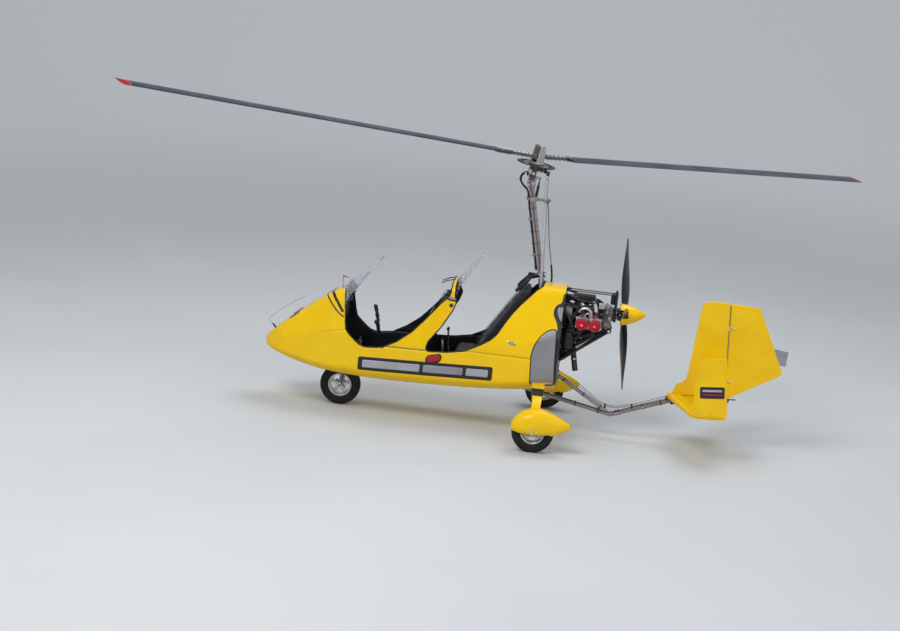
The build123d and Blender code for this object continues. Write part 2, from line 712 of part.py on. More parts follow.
# Rotor blades: one profile carried out along the cone; the nose is at the front as the rotor turns
with BuildPart() as rotor_blades:
    for side in (1, -1):
        out = (Vector(*span_dir) * side + Vector(*head_axis) * rise).normalized()
        ahead = Vector(*head_axis).cross(out).normalized()
        start = Vector(*hub_point) + out * blade_root
        with BuildSketch(Plane(origin=start, x_dir=ahead, z_dir=out)):
            nose, tail, half = blade_chord * 0.27, -blade_chord * 0.73, blade_thick / 2
            with BuildLine():
                ThreePointArc((nose - 14, 0.8 * half), (nose, 0), (nose - 14, -0.8 * half))
                ThreePointArc((nose - 14, 0.8 * half), (nose - 55, half), (nose - 120, 0.72 * half))
                ThreePointArc((nose - 14, -0.8 * half), (nose - 55, -half), (nose - 120, -0.72 * half))
                Line((nose - 120, 0.72 * half), (tail, 1))
                Line((nose - 120, -0.72 * half), (tail, -1))
                Line((tail, 1), (tail, -1))
            make_face()
        extrude(amount=rotor_r - blade_root)
    with BuildSketch(rotor_side):
        fit = bar_thick / 2 + seat_gap
        far = bar_half + seat_gap
        with BuildLine():
            Polyline(
                (0, fit), (far, fit + far * rise), (far, far * rise - fit), (0, -fit),
                (-far, far * rise - fit), (-far, fit + far * rise), close=True,
            )
        make_face()
    extrude(amount=bar_wide / 2 + seat_gap, both=True, mode=Mode.SUBTRACT)

# Propeller
prop_lean = math.radians(prop_tilt)
prop_axis = Vector(math.cos(prop_lean), 0, math.sin(prop_lean))
prop_up = Vector(-math.sin(prop_lean), 0, math.cos(prop_lean))
prop_hub = Vector(prop_x, 0, prop_z)
spinner_r = 97.0
spinner_long = 222.0
prop_flange = 42.0
with BuildPart() as spinner_form:
    with BuildSketch(Plane(origin=prop_hub - prop_axis * 10, x_dir=prop_up, z_dir=(0, 1, 0))):
        with BuildLine():
            Line((0, 0), (spinner_r, 0))
            Line((spinner_r, 0), (spinner_r, 12))
            ThreePointArc((spinner_r, 12), (spinner_r * 0.66, spinner_long * 0.6), (10, spinner_long))
            Line((10, spinner_long), (0, spinner_long))
            Line((0, spinner_long), (0, 0))
        make_face()
    revolve(axis=Axis(prop_hub, prop_axis))


# Each blade: radius, chord, pitch from the disc in degrees and thickness, root to tip
blade_table = (
    (70, 62, 52, 34),
    (240, 118, 38, 20),
    (500, 128, 24, 13),
    (prop_r, 46, 15, 7),
)


def lens_lines(chord, thick):
    """A blade section: two shallow arcs from nose to tail."""
    ThreePointArc((-chord / 2, 0), (0, thick / 2), (chord / 2, 0))
    ThreePointArc((-chord / 2, 0), (0, -thick / 2), (chord / 2, 0))


def propeller_blade(out):
    """One blade that reaches from the hub along out."""
    ahead = prop_axis.cross(out)
    with BuildPart() as blade:
        for radius, chord, pitch, thick in blade_table:
            lean = math.radians(pitch)
            chord_dir = ahead * math.cos(lean) - prop_axis * math.sin(lean)
            with BuildSketch(Plane(origin=prop_hub + prop_axis * 20 + out * radius, x_dir=chord_dir, z_dir=out)):
                with BuildLine():
                    lens_lines(chord, thick)
                make_face()
        loft()
    return blade.part


blade_axes = []
for angle in blade_angles:
    swing = math.radians(angle)
    blade_axes.append(prop_up * math.cos(swing) + Vector(0, 1, 0) * math.sin(swing))

with BuildPart() as propeller_blades:
    with BuildSketch(Plane(origin=prop_hub - prop_axis * prop_flange, z_dir=prop_axis)):
        Circle(58)
    extrude(amount=prop_flange - 10 - seat_gap)
    with BuildSketch(Plane(origin=prop_hub - prop_axis * (10 + seat_gap), z_dir=prop_axis)):
        Circle(spinner_r)
    extrude(amount=-4)
    for out in blade_axes:
        add(propeller_blade(out))
        with BuildSketch(Plane(origin=prop_hub + prop_axis * 20, z_dir=out)):
            Circle(22)
        extrude(amount=96)
    with BuildSketch(Plane(origin=prop_hub - prop_axis * 12, z_dir=prop_axis)):
        Circle(40)
    extrude(amount=62)
    with BuildSketch(Plane(origin=prop_hub - prop_axis * (prop_flange + 1), z_dir=prop_axis)):
        Circle(shaft_r + shaft_gap)
    extrude(amount=prop_flange - 6, mode=Mode.SUBTRACT)

with BuildPart() as spinner:
    add(spinner_form.part)
    with BuildSketch(Plane(origin=prop_hub - prop_axis * 30, z_dir=prop_axis)):
        Circle(spinner_r - 14)
    extrude(amount=80, mode=Mode.SUBTRACT)
    for out in blade_axes:
        with BuildSketch(Plane(origin=prop_hub + prop_axis * 20, x_dir=prop_axis, z_dir=out)):
            Rectangle(78, 72)
        extrude(amount=120, mode=Mode.SUBTRACT)
    with BuildSketch(Plane(origin=prop_hub + prop_axis * (50 + seat_gap), z_dir=prop_axis)):
        Circle(40)
    extrude(amount=13)

# Tail boom: its joints and the radius of its tubes
boom_joint = (912.0, 0.0, 220.0)
boom_end = (1560.0, 0.0, 464.0)
boom_start = (-30.0, 0.0, 395.0)
brace_start = (hull_rear + seat_gap + 10, 0.0, 522.0)
tube_r = 21.0

with BuildPart() as boom_room:
    with BuildSketch(run_plane(boom_joint, boom_end)):
        Circle(tube_r + seat_gap)
    extrude(amount=run_length(boom_joint, boom_end) + seat_gap)

# Tail: hinge line and the frame of the fin and rudder, z up along the hinge
hinge_turn = math.radians(hinge_lean)
hinge_up = Vector(-math.sin(hinge_turn), 0, math.cos(hinge_turn))
hinge_aft = Vector(math.cos(hinge_turn), 0, math.sin(hinge_turn))
hinge_base = Vector(hinge_foot[0], 0, hinge_foot[1])
fin_half = 22.0
rudder_nose = 22.0
lug_heights = (150.0, 640.0)
lug_thick = 8.0

# Side views: fin and rudder
fin_outline = (
    (1440, 470), (1470, 572), (1552, 622), (1566, 700), (1616, 1300), (1640, 1352), (1700, 1371),
    (1910, 1372), (1960, 470),
)
rudder_outline = (
    (1880, 1371), (2126, 1362), (2142, 1345), (2400, 800), (2396, 776), (1965, 516), (1920, 500),
)


def hinge_plane(height):
    return Plane(origin=hinge_base + hinge_up * height, x_dir=hinge_aft, z_dir=hinge_up)


with BuildPart() as tail_fin:
    with BuildSketch(hinge_plane(-60)):
        with BuildLine():
            rear = -rudder_nose - run_gap
            Line((rear, fin_half), (rear, -fin_half))
            ThreePointArc((rear, fin_half), (-190, fin_half + 6), (-330, 14))
            ThreePointArc((rear, -fin_half), (-190, -fin_half - 6), (-330, -14))
            Line((-330, 14), (-560, 8))
            Line((-330, -14), (-560, -8))
            Line((-560, 8), (-560, -8))
        make_face()
    extrude(amount=1000)
    add(side_prism(fin_outline, -100, 100), mode=Mode.INTERSECT)
    for height in lug_heights:
        with BuildSketch(hinge_plane(height)):
            with Locations((-15, 0)):
                Rectangle(2 * 15 + 12, 24)
        extrude(amount=lug_thick)
        with BuildSketch(hinge_plane(height - 14)):
            Circle(4)
        extrude(amount=lug_thick + 28)
    add(boom_room.part, mode=Mode.SUBTRACT)

with BuildPart() as rudder:
    with BuildSketch(hinge_plane(-60)):
        with BuildLine():
            ThreePointArc((0, rudder_nose), (-rudder_nose, 0), (0, -rudder_nose))
            Line((0, rudder_nose), (480, 5))
            Line((0, -rudder_nose), (480, -5))
            Line((480, 5), (480, -5))
        make_face()
    extrude(amount=1000)
    add(side_prism(rudder_outline, -100, 100), mode=Mode.INTERSECT)
    for height in lug_heights:
        with BuildSketch(hinge_plane(height - run_gap)):
            Rectangle(56, 60)
        extrude(amount=lug_thick + 2 * run_gap, mode=Mode.SUBTRACT)
        with BuildSketch(hinge_plane(height - 30)):
            Circle(4 + shaft_gap)
        extrude(amount=lug_thick + 60, mode=Mode.SUBTRACT)

tab_z = (862.0, 1000.0)


def trailing_x(z):
    """The rudder's trailing edge at a height, with a seat gap behind it."""
    high, low = rudder_outline[2], rudder_outline[3]
    return high[0] + (high[1] - z) * (low[0] - high[0]) / (high[1] - low[1]) + 1.2 * seat_gap


with BuildPart() as trim_tab:
    add(side_prism((
        (trailing_x(tab_z[1]), tab_z[1]), (2334, 1004), (2432, 880), (2420, 866), (trailing_x(tab_z[0]), tab_z[0]),
    ), -2, 2))

# Tailplane with its two end plates
plane_half = 500.0
stab_rows = (
    # y, nose x, tail x, middle height, thickness
    (0, 1398, 1925, 462, 66),
    (plane_half, 1622, 1925, 424, 40),
)
end_plate_outline = (
    (1640, 912), (1652, 942), (1672, 953), (1872, 978), (1934, 480), (1925, 444), (1645, 424), (1622, 436),
)
end_plate_thick = 16.0


def tailplane_half(sign):
    """One side of the tailplane, from the middle out to its end plate."""
    with BuildPart() as half_plane:
        for y, nose, tail, z, thick in stab_rows:
            half = thick / 2
            deep = nose + 0.6 * (tail - nose)
            with BuildSketch(Plane(origin=(0, sign * y, 0), x_dir=(1, 0, 0), z_dir=(0, -1, 0))):
                with BuildLine():
                    ThreePointArc((nose + half, z + half), (nose, z), (nose + half, z - half))
                    Line((nose + half, z + half), (deep, z + half))
                    Line((nose + half, z - half), (deep, z - half))
                    Line((deep, z + half), (tail, z + 5))
                    Line((deep, z - half), (tail, z - 5))
                    Line((tail, z + 5), (tail, z - 5))
                make_face()
        loft(ruled=True)
    return half_plane.part


with BuildPart() as tailplane:
    add(tailplane_half(1))
    add(tailplane_half(-1))
    add(side_prism(end_plate_outline, plane_half, plane_half + end_plate_thick))
    add(side_prism(end_plate_outline, -plane_half - end_plate_thick, -plane_half))
    add(tail_fin.part, mode=Mode.SUBTRACT)
    add(boom_room.part, mode=Mode.SUBTRACT)

# Tail boom: keel tube, boom and the brace up to the firewall, with a saddle under the belly
with BuildPart() as tail_boom:
    for start, end, radius in (
        (boom_start, boom_joint, tube_r), (boom_joint, boom_end, tube_r), (brace_start, (880, 0, 240), 18.0),
    ):
        with BuildSketch(run_plane(start, end)):
            Circle(radius)
        extrude(amount=run_length(start, end))
    with Locations(boom_joint):
        Sphere(tube_r)
    add(side_prism(((-70, 378), (66, 352), (66, belly_height(66) - seat_gap), (-70, belly_height(-70) - seat_gap)),
                   -26, 26))
    with Locations((hull_rear + seat_gap + 5, 0, 522)):
        Box(10, 90, 90)
    add(outer_form, mode=Mode.SUBTRACT)

# Wheels
hub_half = 45.0
bead_half = 38.9


def wheel_solids(middle):
    """A tyre and its rim, turned about the axle through middle."""
    x, y, z = middle
    plane = Plane(origin=middle, x_dir=(0, 1, 0), z_dir=(1, 0, 0))
    with BuildPart() as tyre:
        with BuildSketch(plane):
            with BuildLine():
                low = rim_r + seat_gap
                Line((-bead_half, low), (bead_half, low))
                for turn in (1, -1):
                    Line((turn * bead_half, low), (turn * bead_half, rim_r + 7.5))
                    ThreePointArc(
                        (turn * bead_half, rim_r + 7.5), (turn * tyre_half, rim_r + 42), (turn * 38, wheel_r - 10)
                    )
                ThreePointArc((38, wheel_r - 10), (0, wheel_r), (-38, wheel_r - 10))
            make_face()
        revolve(axis=Axis(middle, (0, 1, 0)))
    with BuildPart() as rim:
        with BuildSketch(plane):
            with BuildLine():
                Polyline(
                    (-hub_half, axle_r + shaft_gap), (-hub_half, 26), (-8, 32), (-5, rim_r - 10), (-39, rim_r - 8),
                    (-43, rim_r + 7), (-39.3, rim_r + 7), (-39.3, rim_r), (39.3, rim_r), (39.3, rim_r + 7),
                    (43, rim_r + 7), (39, rim_r - 8), (5, rim_r - 10), (8, 32), (hub_half, 26),
                    (hub_half, axle_r + shaft_gap), close=True,
                )
            make_face()
        revolve(axis=Axis(middle, (0, 1, 0)))
        with BuildSketch(Plane(origin=(x, y - 60, z), x_dir=(1, 0, 0), z_dir=(0, 1, 0))):
            with PolarLocations(60, 5):
                Circle(17)
        extrude(amount=120, mode=Mode.SUBTRACT)
    return tyre.part, rim.part


nose_middle = (nose_x, 0, wheel_r)
left_middle = (axle_x, -track_half, wheel_r)
right_middle = (axle_x, track_half, wheel_r)

# Nose fork: two legs, crown, stem and axle
leg_side = 71.0
fork_r = 12.0
axle_shoulder = leg_side + fork_r + 2
tow_pin = (10.0, 25.0)    # radius and length of the pin for a tow bar, outside each shoulder
crown_low = wheel_r + 15.0
with BuildPart() as nose_fork:
    for sign in (1, -1):
        with BuildSketch(steer_plane(-16, sign * leg_side)):
            Circle(fork_r)
        extrude(amount=crown_low + 30)
    with BuildSketch(steer_plane(crown_low)):
        RectangleRounded(34, 2 * (leg_side + fork_r), 10)
    extrude(amount=22)
    with BuildSketch(steer_plane(crown_low + 10)):
        Circle(stem_r)
    extrude(amount=head_top - crown_low - 14)
    with Locations(nose_middle):
        Cylinder(axle_r, 2 * axle_shoulder, rotation=(90, 0, 0))
        Cylinder(tow_pin[0], 2 * (axle_shoulder + tow_pin[1]), rotation=(90, 0, 0))

# Main axles: a flange on the leg, a shaft through the wheel and out to the spat's outer wall
spat_wall = 4.0
with BuildPart() as main_axles:
    for sign in (1, -1):
        inner = knuckle_y + seat_gap
        outer = track_half + spat_half - spat_wall - seat_gap - 0.5
        with Locations((axle_x, sign * (inner + 4), wheel_r)):
            Cylinder(30, 8, rotation=(90, 0, 0))
        with Locations((axle_x, sign * (knuckle_y - leg_thick + outer) / 2, wheel_r)):
            Cylinder(axle_r, outer - knuckle_y + leg_thick, rotation=(90, 0, 0))


# Side view of a spat: each point's angle round the axle, up from aft, and its room outside the tyre
spat_points = (
    (176.3, 14.4),
    (138.6, 26.3),
    (97.5, 20.8),
    (62.6, 21.4),
    (32.8, 58.2),
    (14.9, 144.1),
    (11.2, 147.4),
    (7.0, 131.4),
    (0.0, -5.0),
    (303.2, -121.3),
    (206.6, -104.3),
    (177.3, 5.2),
)


def spat_outline_lines():
    """Side view of a wheel spat: a round nose and back, a long tail and a cut-up lower edge."""
    around = []
    for angle, room in spat_points:
        reach, swing = wheel_r + room, math.radians(angle)
        around.append((axle_x + reach * math.cos(swing), wheel_r + reach * math.sin(swing)))
    ThreePointArc(around[0], around[1], around[2])
    ThreePointArc(around[2], around[3], around[4])
    Line(around[4], around[5])
    ThreePointArc(around[5], around[6], around[7])
    Line(around[7], around[8])
    ThreePointArc(around[8], around[9], around[10])
    Line(around[10], around[11])
    Line(around[11], around[0])


def spat_plan_lines():
    """The spat from above: a blunt nose, full width over the wheel and a narrow tail."""
    front, rear = axle_x - wheel_r - 15, axle_x + wheel_r + 141
    for sign in (1, -1):
        ThreePointArc((front, sign * 20), (front + 22, sign * 82), (front + 88, sign * 110))
        ThreePointArc((front + 88, sign * 110), (axle_x - 14, sign * spat_half), (axle_x + 96, sign * 108))
        Line((axle_x + 96, sign * 108), (rear, sign * 22))
    Line((front, -20), (front, 20))
    Line((rear, -22), (rear, 22))


with BuildPart() as spat_form:
    with BuildSketch(Plane(origin=(0, -track_half + 150, 0), x_dir=(1, 0, 0), z_dir=(0, -1, 0))):
        with BuildLine():
            spat_outline_lines()
        make_face()
    extrude(amount=300)
    with BuildSketch(Plane(origin=(0, -track_half, 0))):
        with BuildLine():
            spat_plan_lines()
        make_face()
    extrude(amount=500, mode=Mode.INTERSECT)

with BuildPart() as spat_room:
    with BuildSketch(Plane(origin=(0, -track_half + 150, 0), x_dir=(1, 0, 0), z_dir=(0, -1, 0))):
        with BuildLine():
            spat_outline_lines()
        make_face()
        offset(amount=-spat_wall, kind=Kind.INTERSECTION)
        with Locations((axle_x + 31, wheel_r - 37)):
            Rectangle(2 * wheel_r + 82, 120)
    extrude(amount=300)
    with BuildSketch(Plane(origin=(0, -track_half, 0))):
        with BuildLine():
            spat_plan_lines()
        make_face()
        offset(amount=-spat_wall, kind=Kind.INTERSECTION)
    extrude(amount=500, mode=Mode.INTERSECT)

with BuildPart() as wheel_spats:
    add(spat_form.part)
    add(spat_room.part, mode=Mode.SUBTRACT)
    add(leg_band(4.0), mode=Mode.SUBTRACT)
    mirror(about=Plane.XZ)

nose_tyre, nose_rim = wheel_solids(nose_middle)
left_tyre, left_rim = wheel_solids(left_middle)
right_tyre, right_rim = wheel_solids(right_middle)

# Engine: a flat four with its shaft fore and aft
crank_z = 1082.0
crank_x = (500.0, 700.0)
cylinder_xs = (569.0, 684.0)
with BuildPart() as engine_block:
    with Locations(((crank_x[0] + crank_x[1]) / 2 + 14, 0, crank_z)):
        Box(crank_x[1] - crank_x[0] + 60, 190, 210)
    for x in cylinder_xs:
        with Locations((x, 0, crank_z)):
            Cylinder(50, 560, rotation=(90, 0, 0))
    with Locations((510, 0, crank_z + 10)):
        Cylinder(78, 110, rotation=(0, 90, 0))

with BuildPart() as rocker_covers:
    for sign in (1, -1):
        for x in cylinder_xs:
            with Locations((x, sign * (280 + seat_gap + 35), crank_z)):
                Box(104, 70, 92)
    fillet(rocker_covers.edges().filter_by(Axis.Y), 30)

gear_rear = 850.0
with BuildPart() as gearbox:
    start = Vector(crank_x[1] + 44 + seat_gap, 0, 1110)
    with Locations((start.X + 40, 0, 1110)):
        Box(80, 150, 190)
    nose = (start.X + 80, gear_rear - seat_gap)
    with Locations(((nose[0] + nose[1]) / 2, 0, prop_z - 8)):
        Cylinder(62, nose[1] - nose[0], rotation=(0, 90, 0))
    with BuildSketch(Plane(origin=prop_hub - prop_axis * 130, z_dir=prop_axis)):
        Circle(46)
    extrude(amount=130 - prop_flange - seat_gap - 4)
    with BuildSketch(Plane(origin=prop_hub - prop_axis * 60, z_dir=prop_axis)):
        Circle(shaft_r)
    extrude(amount=50)

with BuildPart() as engine_plate:
    with BuildSketch(Plane(origin=(gear_rear, 0, 0), x_dir=(0, 1, 0), z_dir=(1, 0, 0))):
        with BuildLine():
            Polyline((-70, 1086), (70, 1086), (96, 1180), (60, 1338), (-60, 1338), (-96, 1180), close=True)
        make_face()
    extrude(amount=10)
    with BuildSketch(Plane(origin=prop_hub - prop_axis * 200, z_dir=prop_axis)):
        Circle(46 + seat_gap)
    extrude(amount=400, mode=Mode.SUBTRACT)
    for sign in (1, -1):
        start, end = (hull_rear + seat_gap, sign * 45, 1327), (gear_rear, sign * 45, 1327)
        with BuildSketch(run_plane(start, end)):
            Circle(8)
        extrude(amount=run_length(start, end))

with BuildPart() as engine_mount:
    for sign in (1, -1):
        rear = (812, sign * 80, 1004)
        front = (hull_rear + seat_gap, sign * 150, 695)
        high = (hull_rear + seat_gap, sign * 120, 1000)
        foot = (640, sign * 104, 965)
        for start, end, radius in ((front, rear, 17), (front, foot, 12), (high, foot, 12)):
            with BuildSketch(run_plane(start, end)):
                Circle(radius)
            extrude(amount=run_length(start, end))
        for end in (rear, foot):
            with Locations(end):
                Sphere(17)
    add(engine_block.part, mode=Mode.SUBTRACT)
    add(gearbox.part, mode=Mode.SUBTRACT)
    add(outer_form, mode=Mode.SUBTRACT)

pipe_top = 1225.0
with BuildPart() as air_intake:
    for sign in (1, -1):
        for x in cylinder_xs:
            path = (
                (x, sign * 205, crank_z + 50 + seat_gap), (x, sign * 205, 1160),
                (x, sign * 165, pipe_top), (x - 40, sign * 40, pipe_top + 12),
            )
            with BuildLine():
                FilletPolyline(*path, radius=34)
            with BuildSketch(Plane(origin=path[0], z_dir=(0, 0, 1))):
                Circle(17)
            sweep()
    with Locations((560, 0, 1262)):
        Box(200, 110, 66)

tank_r = 50.0
with BuildPart() as engine_tanks:
    for sign in (1, -1):
        with Locations((455, sign * 215, 908)):
            Cylinder(tank_r, 155)
        with Locations((hull_rear + seat_gap + 20, sign * 215, 908)):
            Box(40, 40, 90)

with BuildPart() as exhaust:
    with Locations((470, 0, 862)):
        Cylinder(56, 218, rotation=(90, 0, 0))
    for sign in (1, -1):
        start, end = (470, sign * 100, 862), (cylinder_xs[0], sign * 240, crank_z - 44)
        with BuildSketch(run_plane(start, end)):
            Circle(16)
        extrude(amount=run_length(start, end))
    start, end = (500, -60, 850), (553, -70, 600)
    with BuildSketch(run_plane(start, end)):
        Circle(26)
    extrude(amount=run_length(start, end))
    add(engine_block.part, mode=Mode.SUBTRACT)

# Cable bundle: lashed down the front of the mast, looping over to the head
with BuildPart() as cable_bundle:
    front = mast_half_x + 11 + seat_gap
    path = (
        (mast_high[0] - 77, 0, mast_high[1] + 74), (mast_high[0] - 99, 0, mast_high[1] + 6),
        (mast_x(mast_high[1] - 76) - front, 0, mast_high[1] - 76), (mast_x(1950) - front - 3, 0, 1950),
        (mast_x(1700) - front, 0, 1700), (mast_x(1465) - front, 0, 1465),
    )
    with BuildLine():
        FilletPolyline(*path, radius=60)
    with BuildSketch(run_plane(path[0], path[1])):
        Circle(11)
    sweep()

for item, name in (
    (hull_tub.part, "hull_tub"), (nose_bonnet.part, "nose_bonnet"), (seat_pod.part, "seat_pod"),
    (mast_fairing.part, "mast_fairing"), (side_panels.part, "side_panels"), (firewall.part, "firewall"),
    (instrument_panels.part, "instrument_panels"), (windscreens.part, "windscreens"),
    (keel_beam.part, "keel_beam"), (seat_frames.part, "seat_frames"),
    (front_seat_base.part, "front_seat_base"), (front_seat_back.part, "front_seat_back"),
    (rear_seat_base.part, "rear_seat_base"), (rear_seat_back.part, "rear_seat_back"),
    (hand_controls.part, "hand_controls"), (rudder_pedals.part, "rudder_pedals"),
    (mast.part, "mast"), (mast_brackets.part, "mast_brackets"), (support_bar.part, "support_bar"),
    (cable_bundle.part, "cable_bundle"), (nose_gear_well.part, "nose_gear_well"),
    (landing_leg.part, "landing_leg"), (main_axles.part, "main_axles"), (wheel_spats.part, "wheel_spats"),
    (tail_boom.part, "tail_boom"), (tail_fin.part, "tail_fin"), (tailplane.part, "tailplane"),
    (rudder.part, "rudder"), (trim_tab.part, "trim_tab"),
    (engine_block.part, "engine_block"), (rocker_covers.part, "rocker_covers"), (gearbox.part, "gearbox"),
    (engine_plate.part, "engine_plate"), (engine_mount.part, "engine_mount"), (air_intake.part, "air_intake"),
    (engine_tanks.part, "engine_tanks"), (exhaust.part, "exhaust"),
    (control_rods.part, "control_rods"), (gimbal_block.part, "gimbal_block"), (head_frame.part, "head_frame"),
    (teeter_tower.part, "teeter_tower"), (ring_gear.part, "ring_gear"),
    (hub_bar.part, "hub_bar"), (rotor_blades.part, "rotor_blades"),
    (spinner.part, "spinner"), (propeller_blades.part, "propeller_blades"), (nose_fork.part, "nose_fork"),
    (nose_tyre, "nose_tyre"), (nose_rim, "nose_rim"), (left_tyre, "left_tyre"), (left_rim, "left_rim"),
    (right_tyre, "right_tyre"), (right_rim, "right_rim"),
):
    item.label = name
    export_step(item, f"parts/{name}.step")
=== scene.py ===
from math import copysign, cos, hypot, pi, radians, sin, sqrt, tan

import bmesh
import bpy
import numpy as np
from mathutils import Matrix, Vector


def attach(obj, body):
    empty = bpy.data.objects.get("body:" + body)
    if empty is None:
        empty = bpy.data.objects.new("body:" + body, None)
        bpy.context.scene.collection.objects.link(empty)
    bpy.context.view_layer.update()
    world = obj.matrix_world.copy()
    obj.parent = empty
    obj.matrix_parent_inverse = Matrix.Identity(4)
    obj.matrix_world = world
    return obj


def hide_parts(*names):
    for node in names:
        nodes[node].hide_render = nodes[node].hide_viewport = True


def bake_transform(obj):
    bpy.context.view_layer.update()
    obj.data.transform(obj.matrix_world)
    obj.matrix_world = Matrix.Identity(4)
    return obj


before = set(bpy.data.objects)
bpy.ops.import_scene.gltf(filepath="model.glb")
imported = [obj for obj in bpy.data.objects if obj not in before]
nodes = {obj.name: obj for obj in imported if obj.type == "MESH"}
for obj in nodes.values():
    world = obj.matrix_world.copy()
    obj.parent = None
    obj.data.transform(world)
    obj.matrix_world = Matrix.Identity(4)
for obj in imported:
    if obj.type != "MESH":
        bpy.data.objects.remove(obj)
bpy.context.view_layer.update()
X, Y, Z = np.eye(3)
norm = np.linalg.norm


def floats(values):
    """An array of floats."""
    return np.asarray(values, dtype=float)


def around(count):
    """Angles spaced evenly round a full turn, from 0."""
    return np.linspace(0, 2 * pi, count, False)


def circle(angle):
    """Points of a circle of radius 1 at some angles."""
    return np.stack([np.cos(angle), np.sin(angle)], -1)


def unit(vectors):
    """The same directions, each of length 1."""
    return vectors / np.maximum(norm(vectors, axis=-1, keepdims=True), 1e-12)


# ---- Shapes: each is a pair (points, faces) --------------------------------------------------

def grid(points, wrap_rows=False, wrap_columns=False):
    """Quads between neighbours of a grid of points: corner (i, j) joins (i+1, j), (i+1, j+1) and (i, j+1)."""
    rows, columns = points.shape[:2]
    index = np.arange(rows * columns).reshape(rows, columns)
    if wrap_rows:
        index = np.vstack([index, index[:1]])
    if wrap_columns:
        index = np.hstack([index, index[:, :1]])
    quads = np.stack([index[:-1, :-1], index[1:, :-1], index[1:, 1:], index[:-1, 1:]], -1)
    return points.reshape(-1, 3), quads.reshape(-1, 4)


def joined(*shapes):
    """Several shapes as one: each one's faces count on from the points before it."""
    starts = np.cumsum([0] + [len(points) for points, _ in shapes])
    faces = []
    for start, (_, part) in zip(starts, shapes):
        faces += (np.asarray(part) + start).tolist() if isinstance(part, np.ndarray) else [[start + k for k in face]
            for face in part]
    return np.concatenate([points for points, _ in shapes]), faces


def moved(shape, place):
    """A shape carried by a 4x4 placement: rotation times point plus shift."""
    points, faces = shape
    place = floats(place)
    return points @ place[:3, :3].T + place[:3, 3], faces


def mirrored(shape):
    """The same shape on the other side of the centre plane: y changes sign and each face runs backwards."""
    points, faces = shape
    return points * (1, -1, 1), [list(face)[::-1] for face in (faces.tolist() if isinstance(faces, np.ndarray) else
        faces)]


def pair(*shapes):
    """The shapes and their mirror images."""
    return joined(*shapes, mirrored(joined(*shapes)))


def placement(origin, x_axis, z_axis):
    """A 4x4 whose x and z run along the given directions, from origin; y = z cross x."""
    z, x = unit(floats(z_axis)), floats(x_axis)
    x = unit(x - z * x.dot(z))
    place = np.eye(4)
    place[:3] = np.stack([x, np.cross(z, x), z, origin], 1)
    return place


def turned(profile, origin, axis, sides=48):
    """A profile of (radius, height) spun about the axis through origin: point = origin + axis h + r (cos a, sin a)."""
    profile = floats(profile)
    local = np.concatenate([profile[:, None, :1] * circle(around(sides)), np.repeat(profile[:, None, 1:], sides, 1)], 2)
    side = Z if abs(axis[2]) < .9 * norm(axis) else X
    return moved(grid(local, wrap_columns=True), placement(origin, side, axis))


def curve(points, count):
    """A smooth line through the points: Catmull-Rom cubics, count samples spaced evenly in the parameter."""
    points = floats(points)
    ends = np.vstack([2 * points[0] - points[1], points, 2 * points[-1] - points[-2]])
    at = np.linspace(0, len(points) - 1, count)
    cell = np.minimum(at.astype(int), len(points) - 2)
    t = (at - cell)[:, None]
    a, b, c, d = ends[cell], ends[cell + 1], ends[cell + 2], ends[cell + 3]
    return .5 * (2 * b + (c - a) * t + (2 * a - 5 * b + 4 * c - d) * t ** 2 + (3 * b - a - 3 * c + d) * t ** 3)


def rail_frames(path, lean=None):
    """Tangent, side and up of a path: side is square to the tangent and to one fixed direction, lean."""
    tangent = unit(np.gradient(path, axis=0))
    if lean is None:
        lean = np.eye(3)[np.abs(tangent).max(axis=0).argmin()]
    side = unit(np.cross(tangent, floats(lean)))
    return tangent, side, np.cross(side, tangent)


def tube(path, radius, sides=14, lean=None, flat=1.0):
    """A round rail: point = path + radius (side cos a + up sin a), closed at both ends by shrinking rings."""
    path = floats(path)
    radius = np.broadcast_to(floats(radius), (len(path),))
    tangent, side, up = rail_frames(path, lean)
    along_side, along_up = circle(around(sides)).T[..., None]
    points = path[:, None] + radius[:, None, None] * (side[:, None] * along_side + flat * up[:, None] * along_up)
    first, last = path[:1, None] + 0 * points[:1], path[-1:, None] + 0 * points[-1:]
    return grid(np.concatenate([first, points, last]), wrap_columns=True)


def closed_tube(path, radius, lean):
    """A ring-shaped rail: as tube, with its tangent taken round the closed path."""
    tangent = unit(np.roll(path, -1, 0) - np.roll(path, 1, 0))
    side = unit(np.cross(tangent, floats(lean)))
    along_side, along_up = circle(around(10)).T[..., None]
    return grid(path[:, None] + radius * (side[:, None] * along_side + np.cross(side, tangent)[:, None] * along_up),
        True, True)


def rod(start, end, radius, sides=20):
    """A straight bar with slightly eased ends."""
    start, end = floats(start), floats(end)
    length = norm(end - start)
    ease = min(.15 * radius, .2 * length)
    profile = [(0, 0), (radius - ease, 0), (radius, ease), (radius, length - ease), (radius - ease, length),
        (0, length)]
    return turned(profile, start, end - start, sides)


def rounded(width, height, corner, steps=6):
    """A rectangle with rounded corners as points, anticlockwise: each corner is a quarter turn of radius corner."""
    quarter = circle(np.linspace(0, pi / 2, steps)) * corner
    parts = []
    for count, (sx, sy) in enumerate(((1, 1), (-1, 1), (-1, -1), (1, -1))):
        swing = count * pi / 2
        turn = np.array([[cos(swing), sin(swing)], [-sin(swing), cos(swing)]])
        parts.append(quarter @ turn + (sx * (width / 2 - corner), sy * (height / 2 - corner)))
    return np.concatenate(parts)


